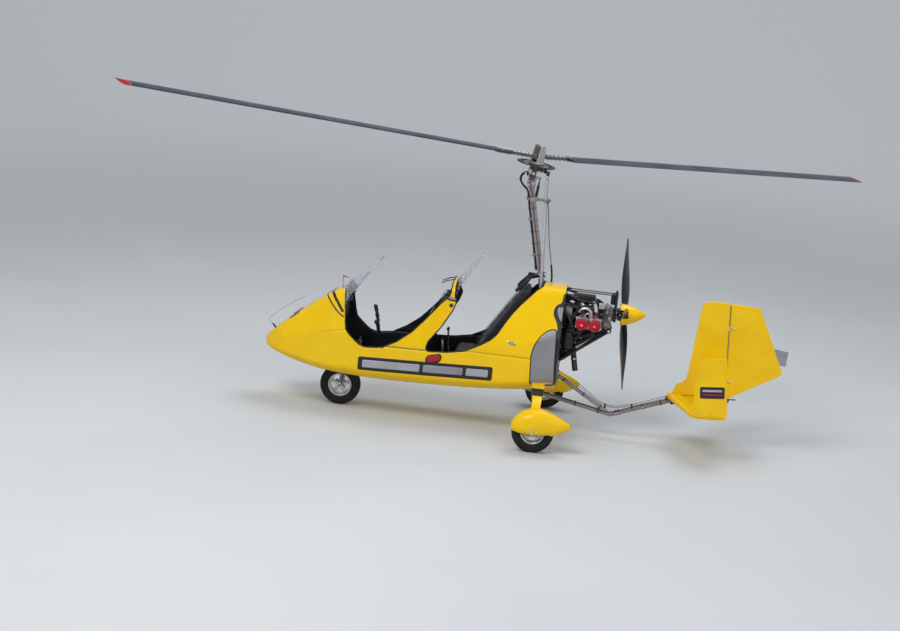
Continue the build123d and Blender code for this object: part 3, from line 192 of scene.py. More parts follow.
def slab(outline, place, low, high, ease=0.0):
    """A closed outline carried from low to high along z of place, its rims eased by rings drawn in by ease."""
    outline = floats(outline)
    count = len(outline)
    if ease:
        ahead = np.roll(outline, -1, 0) - np.roll(outline, 1, 0)
        area = np.sum(outline[:, 0] * np.roll(outline[:, 1], -1) - outline[:, 1] * np.roll(outline[:, 0], -1))
        inward = unit(np.stack([-ahead[:, 1], ahead[:, 0]], 1)) * copysign(1, area)
        levels = [(low, ease), (low + .3 * ease, .3 * ease), (low + ease, 0), (high - ease, 0),
            (high - .3 * ease, .3 * ease), (high, ease)]
    else:
        inward, levels = 0 * outline, [(low, 0), (high, 0)]
    rings = np.stack([np.column_stack([outline + inward * draw, np.full(count, level)]) for level, draw in levels])
    points, quads = grid(rings, wrap_columns=True)
    faces = quads.tolist() + [list(range(count))[::-1], [(len(levels) - 1) * count + k for k in range(count)]]
    return moved((points, faces), place)


def knob(at, axis, sides, *steps):
    """A turned body through its (radius, distance) steps, closed by a flat at each end."""
    return turned([(0, steps[0][1]), *steps, (0, steps[-1][1])], at, axis, sides)


def collar(at, axis, sides, inner, outer, wide):
    """A plain ring from one radius to another."""
    return turned([(inner, 0), (outer, 0), (outer, wide), (inner, wide)], at, axis, sides)


def plate(width, height, corner, at, axis, low, high, ease=0.0, steps=6, aside=X):
    """A rounded rectangle, its width along aside, carried from low to high along an axis through at."""
    return slab(rounded(width, height, corner, steps), placement(at, aside, axis), low, high, ease)


def brick(low, high, corner=.004, ease=.002):
    """A box between two corners, its upright edges rounded and its rims eased."""
    low, high = floats(low), floats(high)
    middle, size = (low + high) / 2, high - low
    corner = min(corner, .49 * min(size[0], size[1]))
    outline = rounded(size[0], size[1], corner)
    return slab(outline, placement((middle[0], middle[1], 0), X, Z), low[2], high[2],
        min(ease, .3 * corner, .3 * size[2]))


def bolt(at, axis, across=.013, height=.008, washer=True):
    """A six-sided bolt head with a washer under it, its top edges eased."""
    hexagon = circle(around(6)) * across / sqrt(3)
    side = X if abs(axis[0]) < .8 else Y
    head = slab(hexagon, placement(at, side, axis), 0, height, .0012)
    if not washer:
        return head
    ring = knob(at, axis, 20, (across * .78, 0), (across * .8, .0008), (across * .78, .0016))
    return joined(head, ring)


def piece(name, shape, material, body="airframe", stands_for=(), smooth=35, weld=1e-5, recalc=False):
    """A finished object from a shape or a list of shapes: doubles merged, shaded smooth below an angle."""
    points, faces = joined(*shape) if isinstance(shape, list) else shape
    mesh = bpy.data.meshes.new(name)
    mesh.from_pydata(points.tolist(), [], faces.tolist() if isinstance(faces, np.ndarray) else faces)
    work = bmesh.new()
    work.from_mesh(mesh)
    bmesh.ops.remove_doubles(work, verts=work.verts, dist=weld)
    bmesh.ops.dissolve_degenerate(work, edges=work.edges, dist=weld)
    if recalc:
        bmesh.ops.recalc_face_normals(work, faces=work.faces)
    work.to_mesh(mesh)
    work.free()
    obj = bpy.data.objects.new(name, mesh)
    bpy.context.scene.collection.objects.link(obj)
    for finish in (material if isinstance(material, (list, tuple)) else [material]):
        mesh.materials.append(finish)
    if smooth:
        mesh.shade_smooth()
        mesh.set_sharp_from_angle(angle=radians(smooth))
    if stands_for:
        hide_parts(*stands_for)
    if body:
        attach(obj, body)
    return obj


def wall_inward(obj, thickness, label="wall", inner_finish=0):
    """Gives an open skin its thickness on the inner side; inner_finish counts to the material of that side."""
    solid = obj.modifiers.new(label, "SOLIDIFY")
    solid.thickness, solid.offset = thickness, -1
    solid.material_offset = solid.material_offset_rim = inner_finish
    return obj


def eased(obj, width, segments, angle=40):
    """Rounds every edge sharper than the angle."""
    bevel = obj.modifiers.new("eased edges", "BEVEL")
    bevel.width, bevel.segments = width, segments
    bevel.limit_method, bevel.angle_limit = "ANGLE", radians(angle)


# ---- Finishes -------------------------------------------------------------------------------

def node_group(name, inputs, outputs):
    """An empty shader group with its sockets and its two end nodes."""
    group = bpy.data.node_groups.new(name, "ShaderNodeTree")
    for kind, label, *value in inputs:
        socket = group.interface.new_socket(label, in_out="INPUT", socket_type="NodeSocket" + kind)
        if value:
            socket.default_value = value[0]
    for kind, label in outputs:
        group.interface.new_socket(label, in_out="OUTPUT", socket_type="NodeSocket" + kind)
    return group, add(group, "NodeGroupInput"), add(group, "NodeGroupOutput")


def add(tree, kind, **values):
    """A new node with values on its own inputs; a gap in an input's name is written as _."""
    node = tree.nodes.new(kind)
    for label, value in values.items():
        node.inputs[label.replace("_", " ")].default_value = value
    return node


def mixer(tree, kind="FLOAT", **values):
    """A node that mixes two numbers, or two colours if its kind is RGBA."""
    node = add(tree, "ShaderNodeMix", **values)
    node.data_type = kind
    return node


def sums(tree, *operations):
    """Calculating nodes, one for each operation."""
    made = [add(tree, "ShaderNodeMath") for _ in operations]
    for node, operation in zip(made, operations):
        node.operation = operation
    return made


def ramp_node(tree, low, high):
    """A smooth step between two values."""
    node = add(tree, "ShaderNodeMapRange", From_Min=low, From_Max=high)
    node.interpolation_type = "SMOOTHSTEP"
    return node


def wire(tree, *links):
    """Joins sockets, each link as (node, output, node, input)."""
    for start, output, end, socket in links:
        tree.links.new(end.inputs[socket], start.outputs[output])


def make_surface_group():
    """Cloudy tone and gloss: broad patches and fine specks of noise mix two colours and two roughnesses."""
    group, start, end = node_group("patches and specks", [("Vector", "Vector"), ("Color", "Colour", (.5, .5, .5, 1)),
        ("Color", "Second", (.4, .4, .4, 1)), ("Float", "Patch Scale", 4.0), ("Float", "Speck Scale", 300.0),
        ("Float", "Speck Share", .2), ("Float", "Low Roughness", .2), ("Float", "High Roughness", .35)],
        [("Color", "Colour"), ("Float", "Roughness"), ("Float", "Height")])
    broad, fine = add(group, "ShaderNodeTexNoise", Detail=5), add(group, "ShaderNodeTexNoise", Detail=2)
    share, step = mixer(group), ramp_node(group, .35, .65)
    colour, rough = mixer(group, "RGBA"), mixer(group)
    wire(group, (start, "Vector", broad, "Vector"), (start, "Vector", fine, "Vector"),
        (start, "Patch Scale", broad, "Scale"), (start, "Speck Scale", fine, "Scale"),
        (start, "Speck Share", share, "Factor"), (broad, "Fac", share, "A"), (fine, "Fac", share, "B"),
        (share, "Result", step, "Value"), (step, "Result", colour, "Factor"), (start, "Colour", colour, "A"),
        (start, "Second", colour, "B"), (step, "Result", rough, "Factor"), (start, "Low Roughness", rough, "A"),
        (start, "High Roughness", rough, "B"), (colour, "Result", end, "Colour"), (rough, "Result", end, "Roughness"),
        (fine, "Fac", end, "Height"))
    return group


def make_dust_group():
    """Dust and grime: noise, stronger on faces that look up or down, mixed over a colour."""
    group, start, end = node_group("dust", [("Vector", "Vector"), ("Color", "Colour", (.5, .5, .5, 1)),
        ("Color", "Dust", (.3, .27, .22, 1)), ("Float", "Scale", 9.0), ("Float", "Amount", .25),
        ("Float", "Turned To", 1.0)], [("Color", "Colour"), ("Float", "Mask")])
    noise, facing = add(group, "ShaderNodeTexNoise", Detail=8), add(group, "ShaderNodeNewGeometry")
    split, (turned_to,) = add(group, "ShaderNodeSeparateXYZ"), sums(group, "MULTIPLY")
    side, patch = ramp_node(group, -.2, .9), ramp_node(group, .45, .75)
    (both, mask), mix = sums(group, "MULTIPLY", "MULTIPLY"), mixer(group, "RGBA")
    wire(group, (start, "Vector", noise, "Vector"), (start, "Scale", noise, "Scale"),
        (facing, "Normal", split, "Vector"), (split, "Z", turned_to, 0), (start, "Turned To", turned_to, 1),
        (turned_to, "Value", side, "Value"), (noise, "Fac", patch, "Value"), (patch, "Result", both, 0),
        (side, "Result", both, 1), (both, "Value", mask, 0), (start, "Amount", mask, 1), (mask, "Value", mix, "Factor"),
        (start, "Colour", mix, "A"), (start, "Dust", mix, "B"), (mix, "Result", end, "Colour"),
        (mask, "Value", end, "Mask"))
    return group


def make_wear_group():
    """Rubbed edges: the curvature that Geometry's Pointiness gives, broken up by noise."""
    group, start, end = node_group("edge wear", [("Vector", "Vector"), ("Float", "Scale", 60.0),
        ("Float", "Amount", .5)], [("Float", "Mask")])
    shape, noise = add(group, "ShaderNodeNewGeometry"), add(group, "ShaderNodeTexNoise", Detail=6)
    edge, broken = ramp_node(group, .53, .62), ramp_node(group, .4, .7)
    both, mask = sums(group, "MULTIPLY", "MULTIPLY")
    wire(group, (start, "Vector", noise, "Vector"), (start, "Scale", noise, "Scale"),
        (shape, "Pointiness", edge, "Value"), (noise, "Fac", broken, "Value"), (edge, "Result", both, 0),
        (broken, "Result", both, 1), (both, "Value", mask, 0), (start, "Amount", mask, 1), (mask, "Value", end, "Mask"))
    return group


def make_weave_group():
    """Woven cloth: two crossed sine waves a thread apart, one over the other in turn."""
    group, start, end = node_group("weave", [("Vector", "Vector"), ("Float", "Threads", 600.0)],
        [("Float", "Height"), ("Float", "Mask")])
    split, (across,) = add(group, "ShaderNodeSeparateXYZ"), sums(group, "ADD")
    wire(group, (start, "Vector", split, "Vector"), (split, "X", across, 0), (split, "Z", across, 1))
    times, wave, times_y, wave_y, cross = sums(group, "MULTIPLY", "SINE", "MULTIPLY", "SINE", "MULTIPLY")
    level = ramp_node(group, -1, 1)
    wire(group, (across, "Value", times, 0), (start, "Threads", times, 1), (times, "Value", wave, 0),
        (split, "Y", times_y, 0), (start, "Threads", times_y, 1), (times_y, "Value", wave_y, 0),
        (wave, "Value", cross, 0), (wave_y, "Value", cross, 1), (cross, "Value", level, "Value"),
        (level, "Result", end, "Height"), (level, "Result", end, "Mask"))
    return group


surface_group, dust_group, wear_group, weave_group = (make_surface_group(), make_dust_group(), make_wear_group(),
    make_weave_group())


def put(tree, group, **values):
    """Places a group in a material with its own values."""
    node = tree.nodes.new("ShaderNodeGroup")
    node.node_tree = group
    for label, value in values.items():
        node.inputs[label.replace("_", " ")].default_value = value
    return node


def new_material(name):
    """A material with its node tree, its shader and the object's own coordinates."""
    material = bpy.data.materials.new(name)
    material.use_nodes = True
    tree = material.node_tree
    return material, tree, tree.nodes["Principled BSDF"], add(tree, "ShaderNodeTexCoord")


def finish(name, colour, second, rough=(.25, .4), metallic=0.0, patch=4.0, speck=300.0, share=.25, bump=0.0, dust=.08,
        dust_colour=(.32, .28, .22), turned_to=1.0, worn=None, stretch=(1, 1, 1), coat=0.0, weave=0.0, threads=2600.0,
        specular=.38, sheen=0.0):
    """A finish from the groups: cloudy tone, dust where faces look up, rubbed edges, and grain or weave in relief."""
    material, tree, shader, where = new_material(name)
    place = add(tree, "ShaderNodeMapping", Scale=stretch)
    tone = put(tree, surface_group, Colour=(*colour, 1), Second=(*second, 1), Patch_Scale=patch, Speck_Scale=speck,
        Speck_Share=share, Low_Roughness=rough[0], High_Roughness=rough[1])
    last = put(tree, dust_group, Dust=(*dust_colour, 1), Amount=dust, Turned_To=turned_to)
    wire(tree, (where, "Object", place, "Vector"), (place, "Vector", tone, "Vector"), (where, "Object", last, "Vector"),
        (tone, "Colour", last, "Colour"), (tone, "Roughness", shader, "Roughness"))
    label = "Colour"
    if worn:
        rub, mix = put(tree, wear_group, Amount=worn[1]), mixer(tree, "RGBA")
        mix.inputs["B"].default_value = (*worn[0], 1)
        wire(tree, (where, "Object", rub, "Vector"), (rub, "Mask", mix, "Factor"), (last, label, mix, "A"))
        last, label = mix, "Result"
    wire(tree, (last, label, shader, "Base Color"))
    if bump or weave:
        relief, rise = add(tree, "ShaderNodeBump", Strength=1, Distance=bump or weave), tone
        if weave:
            rise = put(tree, weave_group, Threads=threads)
            wire(tree, (where, "Object", rise, "Vector"))
        wire(tree, (rise, "Height", relief, "Height"), (relief, "Normal", shader, "Normal"))
    for label, value in (("Metallic", metallic), ("Coat Weight", coat), ("Specular IOR Level", specular),
            ("Sheen Weight", sheen)):
        shader.inputs[label].default_value = value
    return material


yellow = finish("gloss yellow gelcoat", (.9, .57, .002), (.86, .53, .001), rough=(.14, .24), patch=2.5, share=.1,
    dust=.04, dust_colour=(.42, .3, .1), coat=.09, turned_to=.6, specular=.24)
yellow_paint = finish("yellow paint on metal", (.89, .56, .002), (.84, .51, .001), rough=(.22, .34), patch=5, dust=.05,
    dust_colour=(.42, .3, .1), coat=.06, worn=((.55, .42, .16), .25), specular=.24)
silver = finish("satin silver gelcoat", (.29, .29, .315), (.24, .24, .265), rough=(.3, .42), metallic=.3, speck=900,
    share=.45, dust=.1, coat=.2)
plastic = finish("black moulded plastic", (.01, .01, .012), (.019, .019, .021), rough=(.42, .6), speck=700, share=.6,
    bump=.0003, dust=.05)
gloss = finish("gloss black paint", (.007, .007, .008), (.014, .014, .016), rough=(.2, .34), dust=.06,
    worn=((.2, .2, .21), .25))
rubber = finish("black rubber trim", (.008, .008, .009), (.017, .017, .017), rough=(.55, .75), speck=500, share=.5,
    bump=.0002, dust=.09)
decal_black = finish("black decal film", (.012, .012, .016), (.018, .018, .022), rough=(.3, .42), dust=.08)
decal_grey = finish("silver decal film", (.42, .42, .46), (.36, .36, .4), rough=(.28, .4), metallic=.3, dust=.08)
decal_red = finish("red decal film", (.45, .008, .02), (.38, .006, .016), rough=(.3, .42), dust=.08)
frame_steel = finish("grey painted frame steel", (.3, .262, .252), (.235, .205, .2), rough=(.32, .48), metallic=.35,
    patch=9, speck=500, share=.3, dust=.12, worn=((.52, .49, .47), .5))
tower_alloy = finish("machined tower alloy", (.52, .49, .48), (.42, .395, .39), rough=(.34, .5), metallic=.3, patch=16,
    speck=500, share=.4, dust=.12, worn=((.75, .73, .71), .5))
bar_alloy = finish("dark machined hub bar", (.155, .135, .132), (.105, .094, .092), rough=(.34, .5), metallic=.4,
    patch=14, speck=500, share=.4, dust=.12, worn=((.45, .42, .4), .6))
plain_steel = finish("zinc plated steel", (.5, .49, .47), (.4, .39, .36), rough=(.26, .42), metallic=.9, patch=14,
    speck=700, share=.35, dust=.15, worn=((.72, .72, .7), .5))
bright = finish("bright polished steel", (.68, .68, .69), (.58, .58, .6), rough=(.12, .24), metallic=1.0, patch=18,
    share=.2, dust=.08)
light_alloy = finish("brushed light alloy", (.6, .6, .62), (.5, .5, .52), rough=(.26, .4), metallic=.85, patch=10,
    speck=260, share=.7, stretch=(1, 1, 8), bump=.00005, dust=.12, worn=((.8, .8, .8), .4))
cast_alloy = finish("cast engine alloy", (.085, .078, .073), (.05, .046, .044), rough=(.42, .62), metallic=.5, patch=12,
    speck=420, share=.5, bump=.0006, dust=.3, dust_colour=(.1, .08, .06), worn=((.42, .4, .38), .6))
gear_steel = finish("oiled gear steel", (.06, .052, .05), (.095, .084, .08), rough=(.34, .5), metallic=.5, patch=20,
    speck=500, share=.4, bump=.0003, dust=.1, worn=((.42, .4, .39), .4))
gear_alloy = finish("cast gearbox alloy", (.24, .2, .185), (.12, .095, .088), rough=(.38, .55), metallic=.5, patch=26,
    speck=420, share=.5, bump=.0005, dust=.3, dust_colour=(.16, .11, .08), worn=((.55, .52, .5), .6))
red_cover = finish("red painted covers", (.5, .004, .018), (.38, .003, .013), rough=(.24, .38), patch=14, speck=600,
    share=.4, bump=.0002, dust=.05, dust_colour=(.12, .06, .05), coat=.1, specular=.24)
red_paint = finish("red tip paint", (.5, .012, .02), (.42, .01, .016), rough=(.3, .42), dust=.1)
blade_paint = finish("dark blue blade paint", (.022, .03, .06), (.016, .023, .046), rough=(.28, .4), patch=3, share=.2,
    dust=.09, metallic=.25, specular=.3, worn=((.4, .42, .46), .3))
carbon = finish("black propeller composite", (.008, .008, .01), (.016, .016, .018), rough=(.24, .36), dust=.06,
    weave=.00008, threads=3100, coat=.15, specular=.3)
tyre_rubber = finish("tyre rubber", (.006, .006, .006), (.012, .0115, .011), rough=(.6, .8), patch=8, speck=420,
    share=.5, bump=.0003, dust=.07, dust_colour=(.1, .085, .07), turned_to=-1.0, specular=.3)
seat_cloth = finish("black seat cloth", (.009, .009, .011), (.016, .016, .019), rough=(.75, .9), patch=9, share=.3,
    dust=.1, weave=.0005, threads=2400, sheen=.15, specular=.3)
harness_web = finish("black harness webbing", (.018, .018, .02), (.03, .03, .033), rough=(.6, .8), dust=.1, weave=.0006,
    threads=3600, specular=.3)
hose_rubber = finish("black hose", (.014, .014, .015), (.03, .029, .028), rough=(.4, .6), patch=20, speck=500, share=.4,
    dust=.25)
loom_sleeve = finish("braided cable sleeve", (.014, .014, .015), (.026, .026, .028), rough=(.55, .7), dust=.15,
    weave=.0006, threads=1500)
burnt_steel = finish("heat stained exhaust steel", (.075, .055, .046), (.038, .033, .032), rough=(.35, .6), metallic=.6,
    patch=7, share=.3, dust=.3, dust_colour=(.06, .045, .035))
rod_paint = finish("pale grey rod paint", (.5, .49, .53), (.42, .41, .45), rough=(.28, .42), metallic=.25, dust=.08,
    worn=((.7, .7, .7), .3))
tab_grey = finish("grey anodised tab", (.33, .33, .36), (.27, .27, .3), rough=(.35, .5), metallic=.5, dust=.1)
dial_face = finish("dial glass over black", (.02, .024, .03), (.028, .032, .04), rough=(.08, .16), dust=.05)
pod_grey = finish("blue grey instrument pod", (.055, .075, .11), (.04, .055, .085), rough=(.3, .45), dust=.1)


def make_clear_acrylic():
    """Thin clear sheet: glass with a plain transmission and faint dust in its roughness."""
    material, tree, shader, where = new_material("clear acrylic sheet")
    tone = put(tree, surface_group, Colour=(.93, .94, .98, 1), Second=(.86, .88, .95, 1), Patch_Scale=6,
        Speck_Scale=900, Speck_Share=.4, Low_Roughness=.03, High_Roughness=.1)
    wire(tree, (where, "Object", tone, "Vector"), (tone, "Roughness", shader, "Roughness"),
        (tone, "Colour", shader, "Base Color"))
    for label, value in (("Transmission Weight", .86), ("IOR", 1.12), ("Coat Weight", .4)):
        shader.inputs[label].default_value = value
    return material


clear_acrylic = make_clear_acrylic()


# ---- Hull -----------------------------------------------------------------------------------

# Sections: x, belly height, belly half width, top of the bilge, half width, height where the side leans in,
# shoulder half width and height, crown half width and height. The first row is the tip of the nose.
hull_rows = np.array([(-2.306, .528, .000, .528, .000, .528, .000, .528, .000, .528), (-2.29, .49, .022, .51, .07, .53,
    .058, .552, .016, .574), (-2.25, .468, .05, .5, .122, .55, .096, .59, .03, .617),
    (-2.14, .436, .085, .48, .2, .6, .15, .68, .045, .718), (-1.98, .398, .12, .46, .264, .665, .19, .8, .055, .852),
    (-1.8, .368, .15, .44, .312, .712, .215, .92, .065, .994), (-1.64, .352, .165, .43, .338, .75, .232, 1.012, .075,
    1.094), (-1.25, .335, .18, .425, .354, .745, .262, 1.11, .1, 1.205), (-.62, .352, .185, .44, .36, .73, .243, 1.195,
    .115, 1.3), (-.1, .388, .18, .47, .36, .8, .238, 1.25, .105, 1.364),
    (.394, .45, .17, .535, .35, .93, .19, 1.29, .095, 1.35),])
nose_tip, hull_rear = -2.306, .394


def smooth_columns(at, table):
    """Each column of the table against its first, by monotone cubics in the root of the distance from the nose tip.

    The slope at a row is the harmonic mean of its neighbours' slopes, or zero where they change sign.
    """
    knots, values = np.sqrt(table[:, 0] - nose_tip), table[:, 1:]
    step = np.diff(knots)[:, None]
    rise = np.diff(values, axis=0) / step
    product = rise[:-1] * rise[1:]
    slope = np.vstack([rise[:1], np.where(product > 0, 2 * product / np.where(product > 0, rise[:-1] + rise[1:], 1), 0),
        rise[-1:]])
    root = np.sqrt(np.maximum(at - nose_tip, 0))
    cell = np.clip(np.searchsorted(knots, root) - 1, 0, len(knots) - 2)
    h = np.diff(knots)[cell][:, None]
    t = ((root - knots[cell]) / h[:, 0])[:, None]
    return ((1 + 2 * t) * (1 - t) ** 2 * values[cell] + t * (1 - t) ** 2 * h * slope[cell] + t ** 2 * (3 - 2 * t) *
        values[cell + 1] + t ** 2 * (t - 1) * h * slope[cell + 1])


def hull_tables():
    """Half sections of the hull on a grid of x and v, v running from the belly's middle (0) to the crown's (1).

    A section is a flat belly, a round bilge, an upright side, a leaning side, a round shoulder and a flat crown.
    Its corners are eased by a running mean along v. Returns the x stations, the v stations and y and z on the grid.
    """
    root = np.linspace(0, sqrt(hull_rear - nose_tip), 420)
    xs = nose_tip + root ** 2
    z_belly, y_belly, z_bilge, y_side, z_side, y_shoulder, z_shoulder, y_crown, z_crown = smooth_columns(xs,
        hull_rows).T
    zero = 0 * xs
    belly, bilge, side = (y_belly, z_belly), (y_side, z_bilge), (y_side, z_side)
    shoulder, crown = (y_shoulder, z_shoulder), (y_crown, z_crown)

    def arc(start, end, count):
        run, rise = end[0] - start[0], end[1] - start[1]
        bend = ((start[0] + end[0]) / 2 + .34 * rise, (start[1] + end[1]) / 2 - .34 * run)
        t = np.linspace(0, 1, count)[:, None]
        return [((1 - s) ** 2 * start[0] + 2 * s * (1 - s) * bend[0] + s ** 2 * end[0], (1 - s) ** 2 * start[1] + 2 * s
            * (1 - s) * bend[1] + s ** 2 * end[1]) for s in t[:, 0]]

    line = [(zero, z_belly)] + arc(belly, bilge, 9) + arc(side, side, 1) + arc(shoulder, crown, 9) + [(zero, z_crown)]
    knots = np.array([0.0] + list(np.linspace(.13, .31, 9)) + [.46] + list(np.linspace(.72, .93, 9)) + [1.0])
    ys, zs = np.array([p[0] for p in line]).T, np.array([p[1] for p in line]).T
    vs = np.linspace(0, 1, 601)
    cell = np.clip(np.searchsorted(knots, vs, side="right") - 1, 0, len(knots) - 2)
    share = (vs - knots[cell]) / (knots[cell + 1] - knots[cell])
    y = ys[:, cell] * (1 - share) + ys[:, cell + 1] * share
    z = zs[:, cell] * (1 - share) + zs[:, cell + 1] * share
    reach = 11
    kernel = np.hanning(2 * reach + 3)[1:-1]
    kernel /= kernel.sum()
    y_long = np.hstack([-y[:, reach:0:-1], y, -y[:, -2:-reach - 2:-1]])
    z_long = np.hstack([z[:, reach:0:-1], z, z[:, -2:-reach - 2:-1]])
    y = np.apply_along_axis(np.convolve, 1, y_long, kernel, mode="valid")
    z = np.apply_along_axis(np.convolve, 1, z_long, kernel, mode="valid")
    return root, vs, y, z


hull_root, hull_vs, hull_y, hull_z = hull_tables()


def hull_blend(x, v):
    """Bilinear reading of the section tables: half width and height at x and v."""
    x, v = np.broadcast_arrays(floats(x), floats(v))
    i = np.sqrt(np.clip(x - nose_tip, 0, None)) / hull_root[1]
    j = np.clip(v, 0, 1) * (len(hull_vs) - 1)
    i0 = np.clip(i.astype(int), 0, len(hull_root) - 2)
    j0 = np.clip(j.astype(int), 0, len(hull_vs) - 2)
    di, dj = np.clip(i - i0, 0, 1), np.clip(j - j0, 0, 1)

    def read(table):
        return ((1 - di) * (1 - dj) * table[i0, j0] + di * (1 - dj) * table[i0 + 1, j0] + (1 - di) * dj *
            table[i0, j0 + 1] + di * dj * table[i0 + 1, j0 + 1])

    return read(hull_y), read(hull_z)


def hull_at(x, v, lift=0.0, side=-1):
    """Points of the hull's skin, moved out along its normal by lift; side is -1 to port and 1 to starboard."""
    def point(px, pv):
        y, z = hull_blend(px, pv)
        return np.stack([px + 0 * y, side * y, z], -1)

    x, v = np.broadcast_arrays(floats(x), floats(v))
    points = point(x, v)
    if np.any(lift):
        dx, dv = .004, .006
        x_low, x_high = np.maximum(x - dx, nose_tip + .0004), np.minimum(np.maximum(x + dx, nose_tip + .0012),
            hull_rear)
        v_low, v_high = np.maximum(v - dv, 0), np.minimum(v + dv, 1)
        normal = np.cross(point(x_high, v) - point(x_low, v), point(x, v_high) - point(x, v_low))
        middle = point(x, 0 * v + .5)
        middle[..., 1] = 0
        away = np.sign(np.sum(normal * (points - middle), axis=-1, keepdims=True))
        points = points + unit(normal) * away * np.broadcast_to(floats(lift), x.shape)[..., None]
    return points


def over_crown(x, v, t):
    """A shell's skin: port where t is below 0 and starboard from 0."""
    return grid(hull_at(x, v, 0, np.where(t < 0, -1, 1) + 0 * v))


def skin_spot(x, z=None, lift=0.0):
    """The point of the skin to port at x and a height, or on the crown."""
    x = np.array([x])
    return hull_at(x, 1 if z is None else v_at(x, z), lift)[0]


def v_at(x, z):
    """v of the skin at a height: the inverse of the height along each section, read by bisection on whole arrays."""
    x, z = np.broadcast_arrays(floats(x), floats(z))
    low, high = np.zeros(x.shape), np.ones(x.shape)
    for _ in range(22):
        middle = (low + high) / 2
        below = hull_blend(x, middle)[1] < z
        low, high = np.where(below, middle, low), np.where(below, high, middle)
    return (low + high) / 2


def spaced(points, count, closed=False):
    """Samples spaced evenly along a line of points, or round it."""
    points = floats([*points, points[0]] if closed else points)
    run = np.concatenate([[0], np.cumsum(norm(np.diff(points, axis=0), axis=1))])
    at = np.linspace(0, run[-1], count, endpoint=not closed)
    return np.stack([np.interp(at, run, column) for column in points.T], 1)


def eased_line(points, count=160, passes=3):
    """A side-view outline as a smooth line: even samples, their corners relaxed."""
    line = spaced(points, count)
    for _ in range(passes):
        line[1:-1] = (line[:-2] + 2 * line[1:-1] + line[2:]) / 4
    return line


# Edges of the openings, seen from the side: x and z
seam_line = ((-2.306, .555), (-1.948, .677), (-1.53, .776))
front_sill = ((-1.53, .776), (-1.508, .752), (-1.468, .715), (-1.43, .682), (-1.395, .658), (-1.342, .642),
    (-1.25, .65), (-1.173, .66), (-1.169, .667))
bonnet_edge = ((-1.53, .776), (-1.545, .845), (-1.557, .934), (-1.57, 1.02), (-1.585, 1.102), (-1.592, 1.18))
pod_seam = ((-1.169, .668), (-.773, .677))
rear_sill = ((-.773, .677), (-.729, .678), (-.6, .688), (-.446, .718))
pod_front = ((-1.169, .668), (-1.061, .728), (-.937, .826), (-.818, .962), (-.7, 1.112), (-.642, 1.168), (-.627, 1.2),
    (-.625, 1.24), (-.624, 1.31))
pod_rear = ((-.773, .677), (-.792, .7), (-.778, .764), (-.678, .899), (-.592, 1.055), (-.568, 1.128), (-.57, 1.15),
    (-.585, 1.18), (-.588, 1.22), (-.588, 1.31))
fairing_edge = ((-.446, .718), (-.364, .76), (-.299, .795), (-.218, .849), (-.171, .899), (-.114, 1.003),
    (-.055, 1.098), (.004, 1.175), (.066, 1.244), (.13, 1.313), (.17, 1.341), (.188, 1.352), (.192, 1.375))


fairing_low = .718


def tub_skin():
    """The lower hull: for each x the skin runs from the top edge on one side, under the belly, to the other's."""
    top = np.vstack([eased_line(seam_line, 60), eased_line(front_sill, 60, 6)[1:], eased_line(pod_seam, 30)[1:],
        eased_line(rear_sill, 40)[1:], [(hull_rear, fairing_low)]])
    root = np.linspace(0, sqrt(hull_rear - nose_tip), 150)
    xs = np.unique(np.concatenate([nose_tip + root ** 2, np.linspace(-1.55, -1.1, 70), np.linspace(-.82, -.4, 30)]))
    v_top = v_at(xs, np.interp(xs, top[:, 0], top[:, 1]))
    t = np.linspace(-1, 1, 81)
    return over_crown(xs[:, None], np.abs(t) * v_top[:, None], t)


def pod_skin():
    """The seat pod: t runs from the lower edge to port (-1) over the crown (0) to starboard (1).

    Each edge gives x and v against the share of v from its lower end to the crown; between them they are mixed in step.
    """
    t = np.linspace(-1, 1, 91)
    ends = []
    for outline in (pod_front, pod_rear):
        x, z = eased_line(outline, 140).T
        v = v_at(x, z)
        v[-1] = 1
        share = np.maximum.accumulate((v - v[0]) / (1 - v[0]) + 1e-9 * np.arange(len(v)))
        ends.append(np.stack([np.interp(1 - np.abs(t), share, values) for values in (x, v)])[:, None])
    s = np.linspace(0, 1, 40)[:, None]
    return over_crown(*((1 - s) * ends[0] + s * ends[1]), t)


def bonnet_skin():
    """The nose's top: x runs from the tip to the cockpit's edge, and t from the seam over the crown to the seam."""
    (edge_x, edge_z), seam = eased_line(bonnet_edge, 90).T, eased_line(seam_line, 90).T
    low = v_at(edge_x, np.interp(edge_x, *seam))
    share = np.clip((v_at(edge_x, edge_z) - low) / (1 - low), 0, 1)
    share[-1] = 1
    t = np.linspace(-1, 1, 101)
    rear_x = np.interp(1 - np.abs(t), np.maximum.accumulate(share), edge_x)
    x = nose_tip + (rear_x - nose_tip) * np.linspace(0, 1, 110)[:, None] ** 2
    low = v_at(x, np.interp(x, *seam))
    return over_crown(x, low + (1 - low) * (1 - np.abs(t)), t)


def fairing_skin():
    """The mast fairing: from the rear cockpit's edge aft to the hull's end, over the crown."""
    edge_x, edge_z = eased_line(fairing_edge, 140).T
    low, v = v_at(edge_x, fairing_low), v_at(edge_x, edge_z)
    v[-1] = 1
    share = np.maximum.accumulate(np.clip((v - low) / (1 - low), 0, 1) + 1e-9 * np.arange(len(v)))
    t = np.linspace(-1, 1, 121)
    front_x = np.interp(1 - np.abs(t), share / share[-1], edge_x)
    x = front_x + (hull_rear - front_x) * np.linspace(0, 1, 60)[:, None]
    low = v_at(x, fairing_low)
    return over_crown(x, low + (1 - low) * (1 - np.abs(t)), t)


def outward(shape, height=.8, y=0.0):
    """Turns the faces of a shape round if, taken together, they look toward a line along x at y and a height."""
    points, faces = shape
    faces = np.asarray(faces)
    a, b, c = points[faces[:, :3].T]
    away = ((a + b + c) / 3 - (0, y, height)) * (0, 1, 1)
    return points, faces if np.sum(np.cross(b - a, c - a) * away) >= 0 else faces[:, ::-1]


